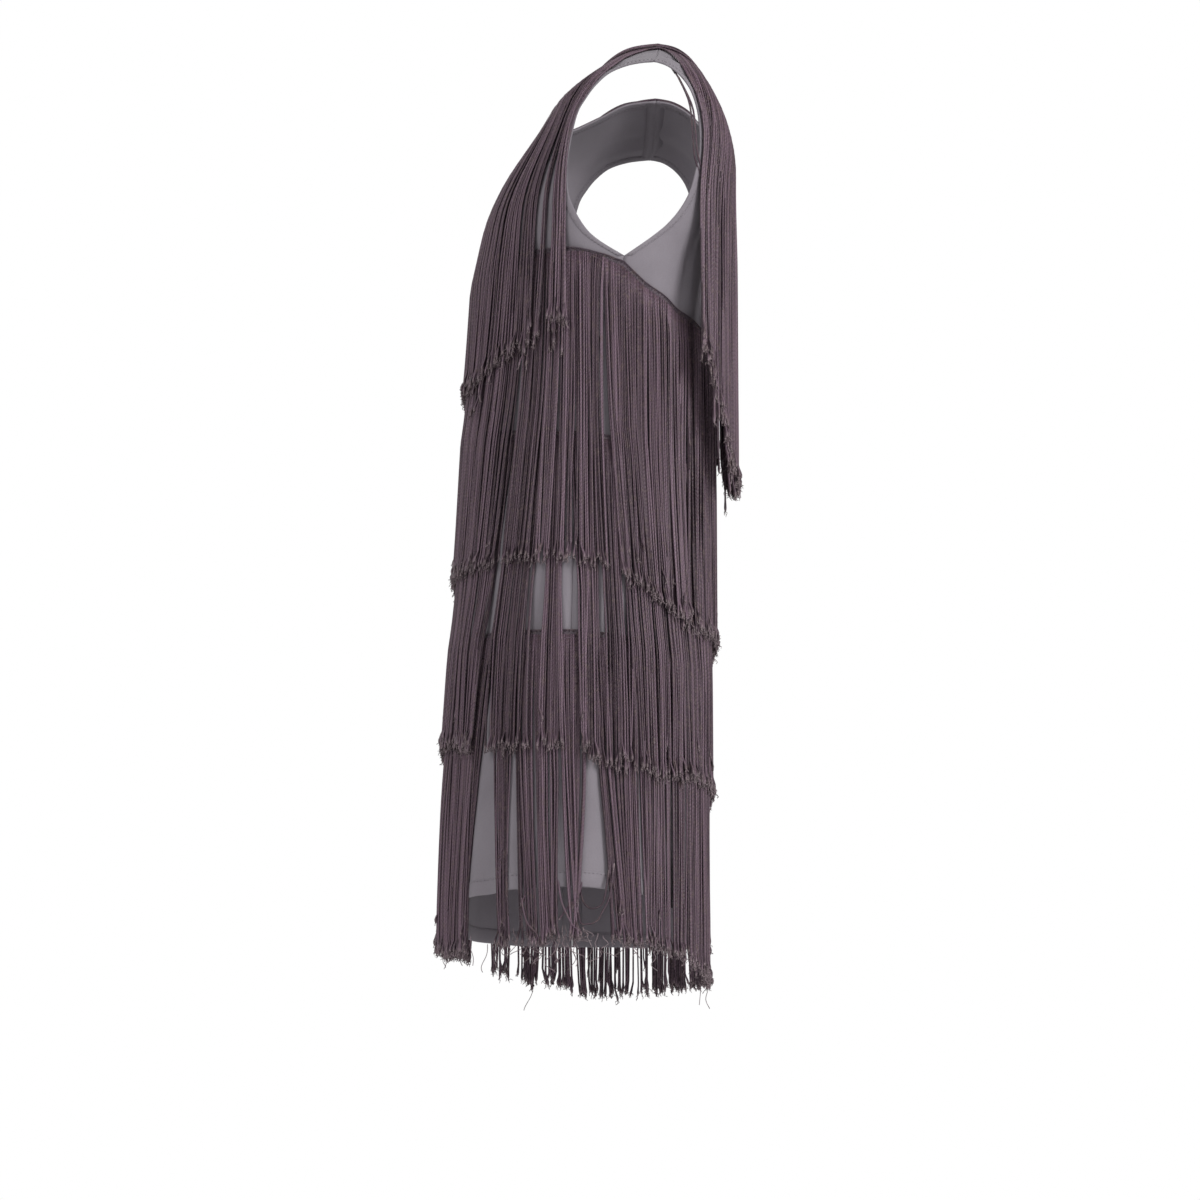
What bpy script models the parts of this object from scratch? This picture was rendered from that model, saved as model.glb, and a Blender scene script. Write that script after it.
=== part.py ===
"""Sleeveless mini dress with four tiers of long fringe, in its worn, hollow shape.

Front is -Y, the wearer's left is +X and up is +Z. The origin lies midway between the two
shoulders, at the height where the straps rest. The dress is a front and a back panel, seamed at
the shoulders and the sides, and eight lengths of fringe trim: a front and a back one for each of
the four tiers. Each trim is a woven heading with hanging locks of yarn, all in one solid.
"""
import math
import random
from typing import NamedTuple

import bmesh
import bpy
from mathutils import Vector
from mathutils.bvhtree import BVHTree

MM = 0.001

# Cloth and seams
WALL = 1.5 * MM
HALF_SEAM_GAP = 0.15 * MM
COLUMNS = 11
ROW_SAMPLES = 48
GIRTH_POWER = 2.2

# Fringe trim
TAPE_LIFT = 1.1 * MM
NECK_TAPE_LIFT = 1.6 * MM
TAPE_THICKNESS = 2.0 * MM
TAPE_WIDTH = 9.0 * MM
LOCK_THICKNESS = 2.2 * MM
LOCK_LIFT = 1.0 * MM
OVER_TRIM_LIFT = 1.5 * MM
ROOT_FILL = 0.74
LOCK_FILL = 0.80
NARROWEST_LOCK = 1.6 * MM
TIP_TAPER = 0.55
LENGTH_SCATTER = 0.035
SWAY = 3.0 * MM
FALL_STEP = 4.0 * MM
DEEPEST_PUSH = 14.0 * MM
CHORD_SAMPLES = 8
SEAM_COVER = 0.6
SEED = 12

# The arc over the chest and the shoulder blades that the neck fringe follows before it hangs
ARC_CENTRE_Y = 0.0
ARC_CENTRE_Z = -150.0 * MM
ARC_STEP = math.radians(1.5)
ARC_REACH = 0.4
SPREAD_POWER = 0.8

# Finishes
CLOTH_COLOUR = (0.150, 0.138, 0.155, 1.0)
FRINGE_COLOUR = (0.095, 0.070, 0.085, 1.0)


class Station(NamedTuple):
    """One level of a half panel, in millimetres.

    The inner end lies on the centre line or, above it, on the neckline. The outer end lies on
    the side seam or, above it, on the armhole. turn is how far the cloth turns between them, in
    degrees, and steps is the number of mesh rows up to the next station.
    """

    name: str
    inner: tuple
    outer: tuple
    turn: float
    steps: int


FRONT_STATIONS = (
    Station("hem", (0, -201, -836), (205, -80, -828), 90, 2),
    Station("thigh", (0, -198, -740), (201, -80, -735), 90, 3),
    Station("hip", (0, -191, -620), (193, -79, -615), 90, 2),
    Station("high hip", (0, -184, -510), (179, -76, -508), 90, 2),
    Station("waist", (0, -179, -400), (161, -68, -400), 90, 2),
    Station("under bust", (0, -174, -310), (155, -54, -312), 90, 2),
    Station("underarm", (0, -170, -232), (156, -30, -230), 90, 1),
    Station("bust", (0, -167, -200), (153, -62, -207), 84, 1),
    Station("upper bust", (0, -160, -163), (148, -80, -175), 76, 1),
    Station("chest", (0, -146, -126), (145, -84, -149), 70, 1),
    Station("upper chest", (0, -127, -91), (143, -82, -122), 66, 1),
    Station("neck centre", (0, -103, -56), (142, -75, -88), 62, 1),
    Station("neck lower curve", (30, -97, -51), (143, -66, -71), 58, 1),
    Station("neck upper curve", (55, -79, -38), (145, -56, -58), 54, 1),
    Station("neck side", (70, -54, -21), (147, -43, -47), 48, 1),
    Station("strap front", (76, -27, -5), (149, -24, -40), 45, 1),
    Station("shoulder", (78, 3, 0), (150, -2, -37), 45, 1),
)
NECK_CENTRE = "neck centre"
UNDERARM = "underarm"

BACK_STATIONS = (
    Station("hem", (0, 39, -858), (205, -80, -828), 90, 2),
    Station("thigh", (0, 42, -755), (201, -80, -735), 90, 3),
    Station("hip", (0, 45, -628), (193, -79, -615), 90, 2),
    Station("high hip", (0, 47, -512), (179, -76, -508), 90, 2),
    Station("waist", (0, 49, -400), (161, -68, -400), 90, 2),
    Station("under blades", (0, 52, -310), (155, -54, -312), 90, 2),
    Station("underarm", (0, 60, -230), (156, -30, -230), 90, 1),
    Station("lower blades", (0, 68, -190), (151, 8, -200), 82, 1),
    Station("blades", (0, 75, -154), (147, 28, -173), 74, 1),
    Station("neck centre", (0, 76, -122), (144, 37, -146), 68, 1),
    Station("neck lower V", (22, 76, -104), (142, 41, -122), 64, 1),
    Station("neck mid V", (42, 72, -83), (142, 41, -100), 60, 1),
    Station("neck upper V", (57, 64, -60), (142, 39, -82), 56, 1),
    Station("neck side", (68, 52, -37), (144, 33, -64), 52, 1),
    Station("strap back", (74, 37, -16), (146, 23, -50), 48, 1),
    Station("strap top", (77, 20, -4), (148, 11, -41), 45, 1),
    Station("shoulder", (78, 3, 0), (150, -2, -37), 45, 1),
)


class Tier(NamedTuple):
    """One tier of fringe. Heights are those of the heading's top edge, in millimetres.

    shares are the places along a lock where it bends, from its root to its tip.
    """

    name: str
    front_height: float
    side_height: float
    back_height: float
    length: float
    front_locks: int
    back_locks: int
    shares: tuple


TIERS = (
    Tier("hip", -570, -592, -601, 281, 32, 32, (0, 0.12, 0.5, 1)),
    Tier("waist", -361, -400, -413, 304, 28, 28, (0, 0.12, 0.5, 1)),
    Tier("bust", -211, -219, -270, 303, 30, 28, (0, 0.10, 0.36, 0.66, 1)),
)
FRONT_BEND = 1.5
BACK_BEND = 2.4


class NeckFringe(NamedTuple):
    """The fringe along one half of the neckline. Sizes in millimetres, angles in degrees."""

    length_at_centre: float
    length_at_shoulder: float
    locks: int
    spread_x: float
    spread_angle: float


FRONT_NECK_FRINGE = NeckFringe(292, 318, 28, 139, 80)
BACK_NECK_FRINGE = NeckFringe(308, 314, 28, 133, 70)
NECK_SHARES = (0, 0.05, 0.12, 0.21, 0.33, 0.46, 0.68, 1)


def clear_scene():
    """Removes every object that the scene starts with."""
    for thing in list(bpy.data.objects):
        bpy.data.objects.remove(thing, do_unlink=True)


def make_material(name, colour, roughness):
    """Returns a Principled material of one colour."""
    material = bpy.data.materials.new(name)
    material.use_nodes = True
    shader = material.node_tree.nodes["Principled BSDF"]
    shader.inputs["Base Color"].default_value = colour
    shader.inputs["Roughness"].default_value = roughness
    shader.inputs["Metallic"].default_value = 0.0
    return material


def make_object(name, points, faces, material):
    """Makes one closed, smooth-shaded object with its faces pointing out."""
    mesh = bpy.data.meshes.new(name)
    mesh.from_pydata([tuple(point) for point in points], [], faces)
    shape = bmesh.new()
    shape.from_mesh(mesh)
    bmesh.ops.recalc_face_normals(shape, faces=shape.faces)
    shape.to_mesh(mesh)
    shape.free()
    mesh.shade_smooth()
    mesh.set_sharp_from_angle(angle=math.radians(40))
    mesh.materials.append(material)
    thing = bpy.data.objects.new(name, mesh)
    bpy.context.scene.collection.objects.link(thing)
    return thing


def catmull_rom(before, start, end, after, t):
    """Returns the smooth curve's point between start and end, with t from 0 to 1."""
    return 0.5 * (
        2 * start
        + (end - before) * t
        + (2 * before - 5 * start + 4 * end - after) * t * t
        + (3 * start - before - 3 * end + after) * t * t * t
    )


def smooth_rows(stations, which, corner):
    """Returns one end of every mesh row, from the hem up, in metres, with one sharp corner."""
    ends = [Vector(getattr(station, which)) * MM for station in stations]
    turn = [station.name for station in stations].index(corner)
    rows = []
    for index in range(len(stations) - 1):
        lowest, highest = (0, turn) if index < turn else (turn, len(ends) - 1)
        before = ends[max(index - 1, lowest)]
        after = ends[min(index + 2, highest)]
        steps = stations[index].steps
        for step in range(steps):
            t = step / steps
            rows.append(catmull_rom(before, ends[index], ends[index + 1], after, t))
    rows.append(ends[-1])
    return rows


def row_turns(stations):
    """Returns the turn of every mesh row, from the hem up, in radians."""
    turns = []
    for low, high in zip(stations, stations[1:]):
        for step in range(low.steps):
            turns.append(math.radians(low.turn + (high.turn - low.turn) * step / low.steps))
    turns.append(math.radians(stations[-1].turn))
    return turns


def row_points(inner, outer, turn):
    """Returns evenly spaced points along a row that turns from its inner to its outer end."""
    power = 2.0 / GIRTH_POWER
    full_across = math.sin(turn) ** power
    last_depth = max(math.cos(turn), 0.0) ** power
    dense = []
    for sample in range(ROW_SAMPLES + 1):
        angle = turn * sample / ROW_SAMPLES
        across = math.sin(angle) ** power / full_across
        depth = (max(math.cos(angle), 0.0) ** power - last_depth) / (1 - last_depth)
        dense.append(Vector((
            inner.x + (outer.x - inner.x) * across,
            outer.y + (inner.y - outer.y) * depth,
            inner.z + (outer.z - inner.z) * across,
        )))
    lengths = [0.0]
    for first, second in zip(dense, dense[1:]):
        lengths.append(lengths[-1] + (second - first).length)
    points = []
    sample = 0
    for column in range(COLUMNS + 1):
        target = lengths[-1] * column / COLUMNS
        while sample < ROW_SAMPLES - 1 and lengths[sample + 1] < target:
            sample += 1
        span = lengths[sample + 1] - lengths[sample]
        points.append(dense[sample].lerp(dense[sample + 1], (target - lengths[sample]) / span))
    return points


def mirrored(point, side):
    """Returns the point on the wearer's left for side 1 and on the right for side -1."""
    return Vector((point.x * side, point.y, point.z))


class Panel:
    """One panel's outer surface: a grid of rows from the hem up on each side of its centre."""

    def __init__(self, stations, facing):
        self.facing = facing
        inner_ends = smooth_rows(stations, "inner", NECK_CENTRE)
        outer_ends = smooth_rows(stations, "outer", UNDERARM)
        names = [station.name for station in stations]
        self.neck_row = sum(station.steps for station in stations[:names.index(NECK_CENTRE)])
        self.seam_rows = sum(station.steps for station in stations[:names.index(UNDERARM)]) + 1
        self.last_row = len(inner_ends) - 1
        turns = row_turns(stations)
        self.half_rows = [row_points(*row) for row in zip(inner_ends, outer_ends, turns)]
        self.open_seams()
        self.points = []
        self.faces = []
        self.index = {}
        for side in (1, -1):
            self.add_half(side)
        self.normals = self.point_normals()
        self.tree = BVHTree.FromPolygons(self.points, self.faces)

    def open_seams(self):
        """Draws the side seam and the shoulder seam back by half of the seam gap."""
        gap = Vector((0, self.facing * HALF_SEAM_GAP, 0))
        for row in self.half_rows:
            row[COLUMNS] = row[COLUMNS] + gap
        self.half_rows[self.last_row] = [point + gap for point in self.half_rows[self.last_row]]

    def add_half(self, side):
        """Adds the points and the outward faces of one half, which meet at the centre line."""
        for row, row_line in enumerate(self.half_rows):
            for column, point in enumerate(row_line):
                on_centre = column == 0 and row <= self.neck_row
                if on_centre and side == -1:
                    self.index[side, row, column] = self.index[1, row, column]
                    continue
                self.index[side, row, column] = len(self.points)
                self.points.append(mirrored(point, side))
        for row in range(self.last_row):
            for column in range(COLUMNS):
                corners = [
                    self.index[side, row, column],
                    self.index[side, row, column + 1],
                    self.index[side, row + 1, column + 1],
                    self.index[side, row + 1, column],
                ]
                if self.diagonal(corners[1], corners[3]) < self.diagonal(corners[0], corners[2]):
                    corners = corners[1:] + corners[:1]
                if side * self.facing > 0:
                    corners = [corners[0], corners[3], corners[2], corners[1]]
                self.faces.append(corners[:3])
                self.faces.append([corners[0], corners[2], corners[3]])

    def diagonal(self, first, second):
        """Returns the distance between two of the panel's points."""
        return (self.points[first] - self.points[second]).length

    def point_normals(self):
        """Returns the outward direction at each point, level across the seams."""
        sums = [Vector() for _ in self.points]
        for corners in self.faces:
            first, second, third = (self.points[corner] for corner in corners)
            normal = (second - first).cross(third - first)
            for corner in corners:
                sums[corner] += normal
        for side in (1, -1):
            for row in range(self.seam_rows):
                sums[self.index[side, row, COLUMNS]].y = 0.0
            for column in range(COLUMNS + 1):
                sums[self.index[side, self.last_row, column]].y = 0.0
        return [total.normalized() for total in sums]

    def neckline(self, side):
        """Returns the neck edge from the centre to the shoulder on one side."""
        rows = range(self.neck_row, self.last_row + 1)
        return [self.points[self.index[side, row, 0]] for row in rows]

    def at(self, side, across, height):
        """Returns the point and normal at a height, across the half from 0 at its centre to 1."""
        column = min(int(across * COLUMNS), COLUMNS - 1)
        part = across * COLUMNS - column
        line = []
        for row in range(self.last_row + 1):
            near = self.index[side, row, column]
            far = self.index[side, row, column + 1]
            line.append((
                self.points[near].lerp(self.points[far], part),
                self.normals[near].lerp(self.normals[far], part),
            ))
        for (low, low_normal), (high, high_normal) in zip(line, line[1:]):
            if low.z <= height <= high.z:
                t = (height - low.z) / (high.z - low.z)
                point, _, _, _ = self.tree.find_nearest(low.lerp(high, t))
                return point, low_normal.lerp(high_normal, t).normalized()
        raise ValueError("no cloth at this height")

    def build(self, name, material):
        """Makes the panel as a wall of even thickness."""
        count = len(self.points)
        inner = [point - normal * WALL for point, normal in zip(self.points, self.normals)]
        faces = list(self.faces)
        faces += [[corner + count for corner in reversed(corners)] for corners in self.faces]
        edges = {}
        for corners in self.faces:
            for first, second in zip(corners, corners[1:] + corners[:1]):
                if edges.pop((second, first), None) is None:
                    edges[first, second] = True
        faces += [[second, first, first + count, second + count] for first, second in edges]
        return make_object(name, self.points + inner, faces, material)


class Path(NamedTuple):
    """A lock's centre line on its inner face, with the outward direction at each point."""

    points: list
    normals: list


class Layer(NamedTuple):
    """A surface that a lock lies on, and how far off it the lock's inner face stays."""

    tree: BVHTree
    lift: float


def push_out(layers, point):
    """Moves a point out of every layer, and returns it with the last layer's normal, if any."""
    touched = None
    for layer in layers:
        near, normal, _, _ = layer.tree.find_nearest(point)
        offset = point - near
        out = offset.dot(normal)
        beside = (offset - normal * out).length
        if -DEEPEST_PUSH < out < layer.lift and beside < 0.5 * FALL_STEP:
            point = point + normal * (layer.lift - out)
            touched = normal
    return point, touched


def run_lengths(points):
    """Returns the length of a line up to each of its points."""
    runs = [0.0]
    for first, second in zip(points, points[1:]):
        runs.append(runs[-1] + (second - first).length)
    return runs


def fall(layers, points, normals, length):
    """Lets a lock drop straight down from its last point, pushed out by whatever it lies on."""
    run = run_lengths(points)[-1]
    normal = normals[-1]
    while run < length + FALL_STEP:
        point, touched = push_out(layers, points[-1] - Vector((0, 0, FALL_STEP)))
        if touched is None:
            touched = Vector((normal.x, normal.y, 0)).normalized()
        normal = normal.lerp(touched, 0.25).normalized()
        run += (point - points[-1]).length
        points.append(point)
        normals.append(normal)
    return Path(points, normals)


def resample(path, targets):
    """Returns the points of a path at the given lengths along it."""
    runs = run_lengths(path.points)
    points = []
    normals = []
    index = 0
    for target in targets:
        while index < len(runs) - 2 and runs[index + 1] < target:
            index += 1
        t = (target - runs[index]) / (runs[index + 1] - runs[index])
        points.append(path.points[index].lerp(path.points[index + 1], t))
        normals.append(path.normals[index].lerp(path.normals[index + 1], t).normalized())
    return Path(points, normals)


def straightened(path, targets):
    """Returns a path of straight stretches between the targets, moved out to clear the curve."""
    coarse = resample(path, targets)
    extra = [0.0] * len(targets)
    for step in range(len(targets) - 1):
        inner = [targets[step] + (targets[step + 1] - targets[step]) * part / CHORD_SAMPLES
                 for part in range(1, CHORD_SAMPLES)]
        between = resample(path, inner)
        start, end = coarse.points[step], coarse.points[step + 1]
        for part, (point, normal) in enumerate(zip(between.points, between.normals), start=1):
            share = part / CHORD_SAMPLES
            sag = (point - start.lerp(end, share)).dot(normal)
            if step:
                extra[step] = max(extra[step], sag)
                extra[step + 1] = max(extra[step + 1], sag)
            else:
                extra[1] = max(extra[1], sag / share)
    points = [p + n * e for p, n, e in zip(coarse.points, coarse.normals, extra)]
    return Path(points, coarse.normals)


def lock_frame(path, step):
    """Returns the directions across and out of a lock at one point of its path."""
    last = len(path.points) - 1
    before = path.points[max(step - 1, 0)]
    after = path.points[min(step + 1, last)]
    along = (after - before).normalized()
    across = along.cross(path.normals[step]).normalized()
    return across, across.cross(along).normalized()


class Heading(NamedTuple):
    """The heading's top and bottom points at one place, on the cloth, and the normals there."""

    top: Vector
    bottom: Vector
    top_normal: Vector
    bottom_normal: Vector
    lift: float

    def corners(self):
        """Returns the tape's corners: top outer, top inner, bottom outer and bottom inner."""
        outer = self.lift + TAPE_THICKNESS
        return [
            self.top + self.top_normal * outer,
            self.top + self.top_normal * self.lift,
            self.bottom + self.bottom_normal * outer,
            self.bottom + self.bottom_normal * self.lift,
        ]


def extended(column, neighbour):
    """Returns a column of points past the last one, over the seam beside it."""
    return [point + (point - other) * SEAM_COVER for point, other in zip(column, neighbour)]


class Trim:
    """One length of fringe: a heading and its locks from one end to the other."""

    def __init__(self, shares, seed):
        self.shares = shares
        self.random = random.Random(seed)
        self.headings = []
        self.lines = []
        self.sway = 0.0

    def scatter(self, length):
        """Returns one lock's own length."""
        return length * (1 + self.random.uniform(-LENGTH_SCATTER, LENGTH_SCATTER))

    def add(self, edge_a, edge_b, path, length):
        """Adds one lock between two edges of the heading, leaning much as its neighbour does."""
        self.headings += [edge_a, edge_b]
        line = straightened(path, [share * length for share in self.shares])
        self.sway = 0.7 * self.sway + 0.3 * self.random.uniform(-1, 1)
        points = list(line.points)
        for step in range(1, len(points)):
            across, _ = lock_frame(line, step)
            points[step] = points[step] + across * (SWAY * self.sway * self.shares[step])
        self.lines.append(Path(points, line.normals))

    def width(self, lock, step):
        """Returns a lock's width, a share of its distance to the nearer of its neighbours."""
        line = self.lines[lock]
        across, _ = lock_frame(line, step)
        rooms = []
        for other in (lock - 1, lock + 1):
            if 0 <= other < len(self.lines):
                away = self.lines[other].points[step] - line.points[step]
                rooms.append(abs(away.dot(across)))
        return max(LOCK_FILL * min(rooms), NARROWEST_LOCK)

    def rings(self, lock):
        """Returns the four corners of a lock at each point of its line, below its root."""
        line = self.lines[lock]
        last = len(line.points) - 1
        first_edge, second_edge = self.headings[2 * lock], self.headings[2 * lock + 1]
        rings = []
        for step in range(1, last + 1):
            across, out = lock_frame(line, step)
            if across.dot(second_edge.bottom - first_edge.bottom) < 0:
                across.negate()
            taper = TIP_TAPER if step == last else 1.0
            half = 0.5 * self.width(lock, step) * taper
            thick = LOCK_THICKNESS * taper
            inner = line.points[step] + out * (0.5 * (LOCK_THICKNESS - thick))
            outer = inner + out * thick
            rings.append([
                outer - across * half,
                outer + across * half,
                inner + across * half,
                inner - across * half,
            ])
        return rings

    def envelope(self, facing):
        """Returns the layer that the next tier up lies on: a sheet over the fronts of the locks."""
        columns = []
        for lock, line in enumerate(self.lines):
            edge = self.headings[2 * lock].corners()
            column = [edge[0], edge[2]]
            for step in range(1, len(line.points)):
                column.append(line.points[step] + line.normals[step] * LOCK_THICKNESS)
            columns.append(column)
        columns.insert(0, extended(columns[0], columns[1]))
        columns.append(extended(columns[-1], columns[-2]))
        points = [point for column in columns for point in column]
        depth = len(columns[0])
        faces = []
        for number in range(len(columns) - 1):
            for step in range(depth - 1):
                near = number * depth + step
                faces.append([near, near + 1, near + depth + 1, near + depth])
        tree = BVHTree.FromPolygons(points, faces)
        middle = points[(len(columns) // 2) * depth + 2]
        _, normal, _, _ = tree.find_nearest(middle)
        if normal.y * facing < 0:
            faces = [face[::-1] for face in faces]
            tree = BVHTree.FromPolygons(points, faces)
        return Layer(tree, OVER_TRIM_LIFT)

    def build(self, name, material):
        """Makes the trim as one closed solid, with each lock growing out of the heading."""
        points = []
        faces = []
        for heading in self.headings:
            points.extend(heading.corners())
        last = len(self.headings) - 1
        for station in range(last):
            near = 4 * station
            far = near + 4
            faces.append([near, near + 1, far + 1, far])
            faces.append([near, far, far + 2, near + 2])
            faces.append([near + 1, near + 3, far + 3, far + 1])
            if station % 2 == 1:
                faces.append([near + 2, far + 2, far + 3, near + 3])
        faces.append([0, 2, 3, 1])
        end = 4 * last
        faces.append([end, end + 1, end + 3, end + 2])
        for lock in range(len(self.lines)):
            near = 8 * lock
            previous = [near + 2, near + 6, near + 7, near + 3]
            for ring in self.rings(lock):
                current = [len(points) + corner for corner in range(4)]
                points.extend(ring)
                for corner in range(4):
                    following = (corner + 1) % 4
                    faces.append([previous[corner], previous[following],
                                  current[following], current[corner]])
                previous = current
            faces.append(previous[::-1])
        return make_object(name, points, faces, material)


def tier_height(tier, facing, across):
    """Returns the height of a tier's heading, bending towards the side seam's height."""
    if facing < 0:
        centre = tier.front_height
        bent = math.sin(0.5 * math.pi * abs(across)) ** FRONT_BEND
    else:
        centre = tier.back_height
        bent = abs(across) ** BACK_BEND
    return (centre + (tier.side_height - centre) * bent) * MM


def tier_heading(panel, tier, across):
    """Returns a tier's heading at a place across the panel, from -1 to 1."""
    side = 1 if across >= 0 else -1
    height = tier_height(tier, panel.facing, across)
    top, top_normal = panel.at(side, abs(across), height)
    bottom, bottom_normal = panel.at(side, abs(across), height - TAPE_WIDTH)
    return Heading(top, bottom, top_normal, bottom_normal, TAPE_LIFT)


def tier_trim(tier, panel, layers, seed):
    """Lays out one tier's trim across one panel, from one side seam to the other."""
    count = tier.front_locks if panel.facing < 0 else tier.back_locks
    trim = Trim(tier.shares, seed)
    for lock in range(count):
        middle = 2 * (lock + 0.5) / count - 1
        reach = ROOT_FILL / count
        start = middle - reach if lock else -1.0
        end = middle + reach if lock < count - 1 else 1.0
        root = tier_heading(panel, tier, middle)
        length = trim.scatter(tier.length * MM - TAPE_WIDTH)
        start_point = root.bottom + root.bottom_normal * LOCK_LIFT
        path = fall(layers, [start_point], [root.bottom_normal], length)
        trim.add(tier_heading(panel, tier, start), tier_heading(panel, tier, end), path, length)
    return trim


def point_along(line, share):
    """Returns the point at a share of a line's length, and the line's direction there."""
    runs = run_lengths(line)
    target = share * runs[-1]
    index = 0
    while index < len(line) - 2 and runs[index + 1] < target:
        index += 1
    t = (target - runs[index]) / (runs[index + 1] - runs[index])
    before = line[max(index - 1, 0)]
    after = line[min(index + 2, len(line) - 1)]
    near = (line[index + 1] - before).normalized()
    far = (after - line[index]).normalized()
    return line[index].lerp(line[index + 1], t), near.lerp(far, t).normalized()


def neck_heading(panel, share):
    """Returns the neck heading at a share from the centre, negative on the wearer's right."""
    side = 1 if share >= 0 else -1
    at_seam = abs(share) >= 1.0
    top, along = point_along(panel.neckline(side), abs(share))
    _, normal, _, _ = panel.tree.find_nearest(top)
    if at_seam:
        normal = Vector((normal.x, 0, normal.z)).normalized()
        along = Vector((0, along.y, 0)).normalized()
    away = along.cross(normal).normalized()
    if away.z > 0:
        away.negate()
    bottom, bottom_normal, _, _ = panel.tree.find_nearest(top + away * TAPE_WIDTH)
    if at_seam:
        bottom = Vector((bottom.x, top.y, bottom.z))
        bottom_normal = normal
    return Heading(top, bottom, normal, bottom_normal, NECK_TAPE_LIFT)


def over_the_arc(panel, root, normal, end_x):
    """Leads a lock from the neck over the chest or the blades, spreading out sideways."""
    centre = Vector((0, ARC_CENTRE_Y, ARC_CENTRE_Z))
    start_angle = math.atan2(abs(root.y - centre.y), root.z - centre.z)
    angle = start_angle
    points = [root]
    normals = [normal]
    while angle + ARC_STEP < 0.5 * math.pi:
        angle += ARC_STEP
        t = (angle - start_angle) / (0.5 * math.pi - start_angle)
        x = root.x + (end_x - root.x) * t ** SPREAD_POWER
        ray = Vector((0, panel.facing * math.sin(angle), math.cos(angle)))
        hit, hit_normal, _, _ = panel.tree.ray_cast(Vector((x, centre.y, centre.z)), ray, ARC_REACH)
        if hit is None:
            break
        if hit_normal.dot(ray) < 0:
            hit_normal.negate()
        normals.append(normals[-1].lerp(hit_normal, 0.4).normalized())
        points.append(hit + hit_normal * LOCK_LIFT)
    return points, normals


def neck_trim(fringe, panel, layers, seed):
    """Lays out the fringe along one panel's neckline, from shoulder to shoulder."""
    trim = Trim(NECK_SHARES, seed)
    for lock in range(fringe.locks):
        middle = 2 * (lock + 0.5) / fringe.locks - 1
        reach = ROOT_FILL / fringe.locks
        start = middle - reach if lock else -1.0
        end = middle + reach if lock < fringe.locks - 1 else 1.0
        root = neck_heading(panel, middle)
        spread = math.sin(math.radians(fringe.spread_angle) * abs(middle))
        end_x = math.copysign(fringe.spread_x * MM * spread, middle)
        start_point = root.bottom + root.bottom_normal * LOCK_LIFT
        points, normals = over_the_arc(panel, start_point, root.bottom_normal, end_x)
        longer = (fringe.length_at_shoulder - fringe.length_at_centre) * abs(middle)
        length = trim.scatter((fringe.length_at_centre + longer) * MM - TAPE_WIDTH)
        path = fall(layers, points, normals, length)
        trim.add(neck_heading(panel, start), neck_heading(panel, end), path, length)
    return trim


def main():
    """Builds the dress, its trims from the lowest tier up so that each lies over the one below."""
    clear_scene()
    cloth = make_material("cloth", CLOTH_COLOUR, 0.62)
    yarn = make_material("fringe", FRINGE_COLOUR, 0.55)
    front = Panel(FRONT_STATIONS, -1)
    back = Panel(BACK_STATIONS, 1)
    front.build("front_panel", cloth)
    back.build("back_panel", cloth)
    layers = [Layer(front.tree, LOCK_LIFT), Layer(back.tree, LOCK_LIFT)]
    places = ((front, "front"), (back, "back"))
    for number, tier in enumerate(TIERS):
        trims = []
        for panel, place in places:
            trim = tier_trim(tier, panel, layers, SEED + 10 * number + panel.facing)
            trim.build(f"{tier.name}_fringe_{place}", yarn)
            trims.append(trim.envelope(panel.facing))
        layers += trims
    for (panel, place), fringe in zip(places, (FRONT_NECK_FRINGE, BACK_NECK_FRINGE)):
        trim = neck_trim(fringe, panel, layers, SEED + panel.facing)
        trim.build(f"neck_fringe_{place}", yarn)


main()
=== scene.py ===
"""Looks of a fringed mini dress: its cloth and creases, four tiers of yarn fringe and the sewing.

Front is -Y, the wearer's left is +X and up is +Z. The origin lies midway between the shoulders.
"""
import logging
import math
from dataclasses import dataclass, field
from enum import Enum

import bpy
import numpy as np
from mathutils import Euler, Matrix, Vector
from mathutils.bvhtree import BVHTree


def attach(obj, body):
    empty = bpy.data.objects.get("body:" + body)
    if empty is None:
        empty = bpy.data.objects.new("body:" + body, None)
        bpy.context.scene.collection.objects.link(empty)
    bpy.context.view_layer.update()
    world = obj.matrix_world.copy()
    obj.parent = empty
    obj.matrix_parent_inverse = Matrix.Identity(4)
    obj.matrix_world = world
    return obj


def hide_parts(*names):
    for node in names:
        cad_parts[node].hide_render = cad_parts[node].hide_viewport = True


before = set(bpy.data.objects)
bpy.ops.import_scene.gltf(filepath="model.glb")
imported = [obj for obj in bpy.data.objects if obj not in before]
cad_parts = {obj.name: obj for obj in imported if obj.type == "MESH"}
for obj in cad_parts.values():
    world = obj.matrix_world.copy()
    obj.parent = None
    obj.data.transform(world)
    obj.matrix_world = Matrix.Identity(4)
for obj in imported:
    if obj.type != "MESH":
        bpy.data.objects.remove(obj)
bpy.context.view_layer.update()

MM = 0.001
BODY = "root"
UV_NAME = "yarn"
LOG = logging.getLogger("fringed_mini_dress")

FIBRE_SCALE = 1400.0
FLECK_SCALE = 210.0
CLOUD_SCALE = 22.0
FUZZ_SCALE = 900.0
STRAND_PHASE = 7.3
WEAVE_PITCH = 0.9 * MM
# Near-black colour of the painted shade in the yarn's grooves and along the sides of each strand.
PAINTED_SHADE_COLOUR = (0.010, 0.007, 0.010, 1.0)

# The lift and the sink are in millimetres. Shares run along a strand or a stitch.
STRAND_LIFT = 1.3
FRAY_START = 0.955
FRAY_SHARES = (0.970, 0.981, 0.991, 1.0)
FRAY_WIDTHS = (1.05, 1.30, 1.45, 0.90)
PLY_LEAN = (0.37, 0.78, 0.5)
STITCH_SHARES = (0.0, 0.3, 0.7, 1.0)
STITCH_SINK = (-0.5, 0.25, 0.25, -0.5)
# About a full turn, in radians.
ROUGH_TURN = 6.28
UP = np.array([0.0, 0.0, 1.0])

Triple = tuple[float, float, float]
Pair = tuple[float, float]


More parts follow.
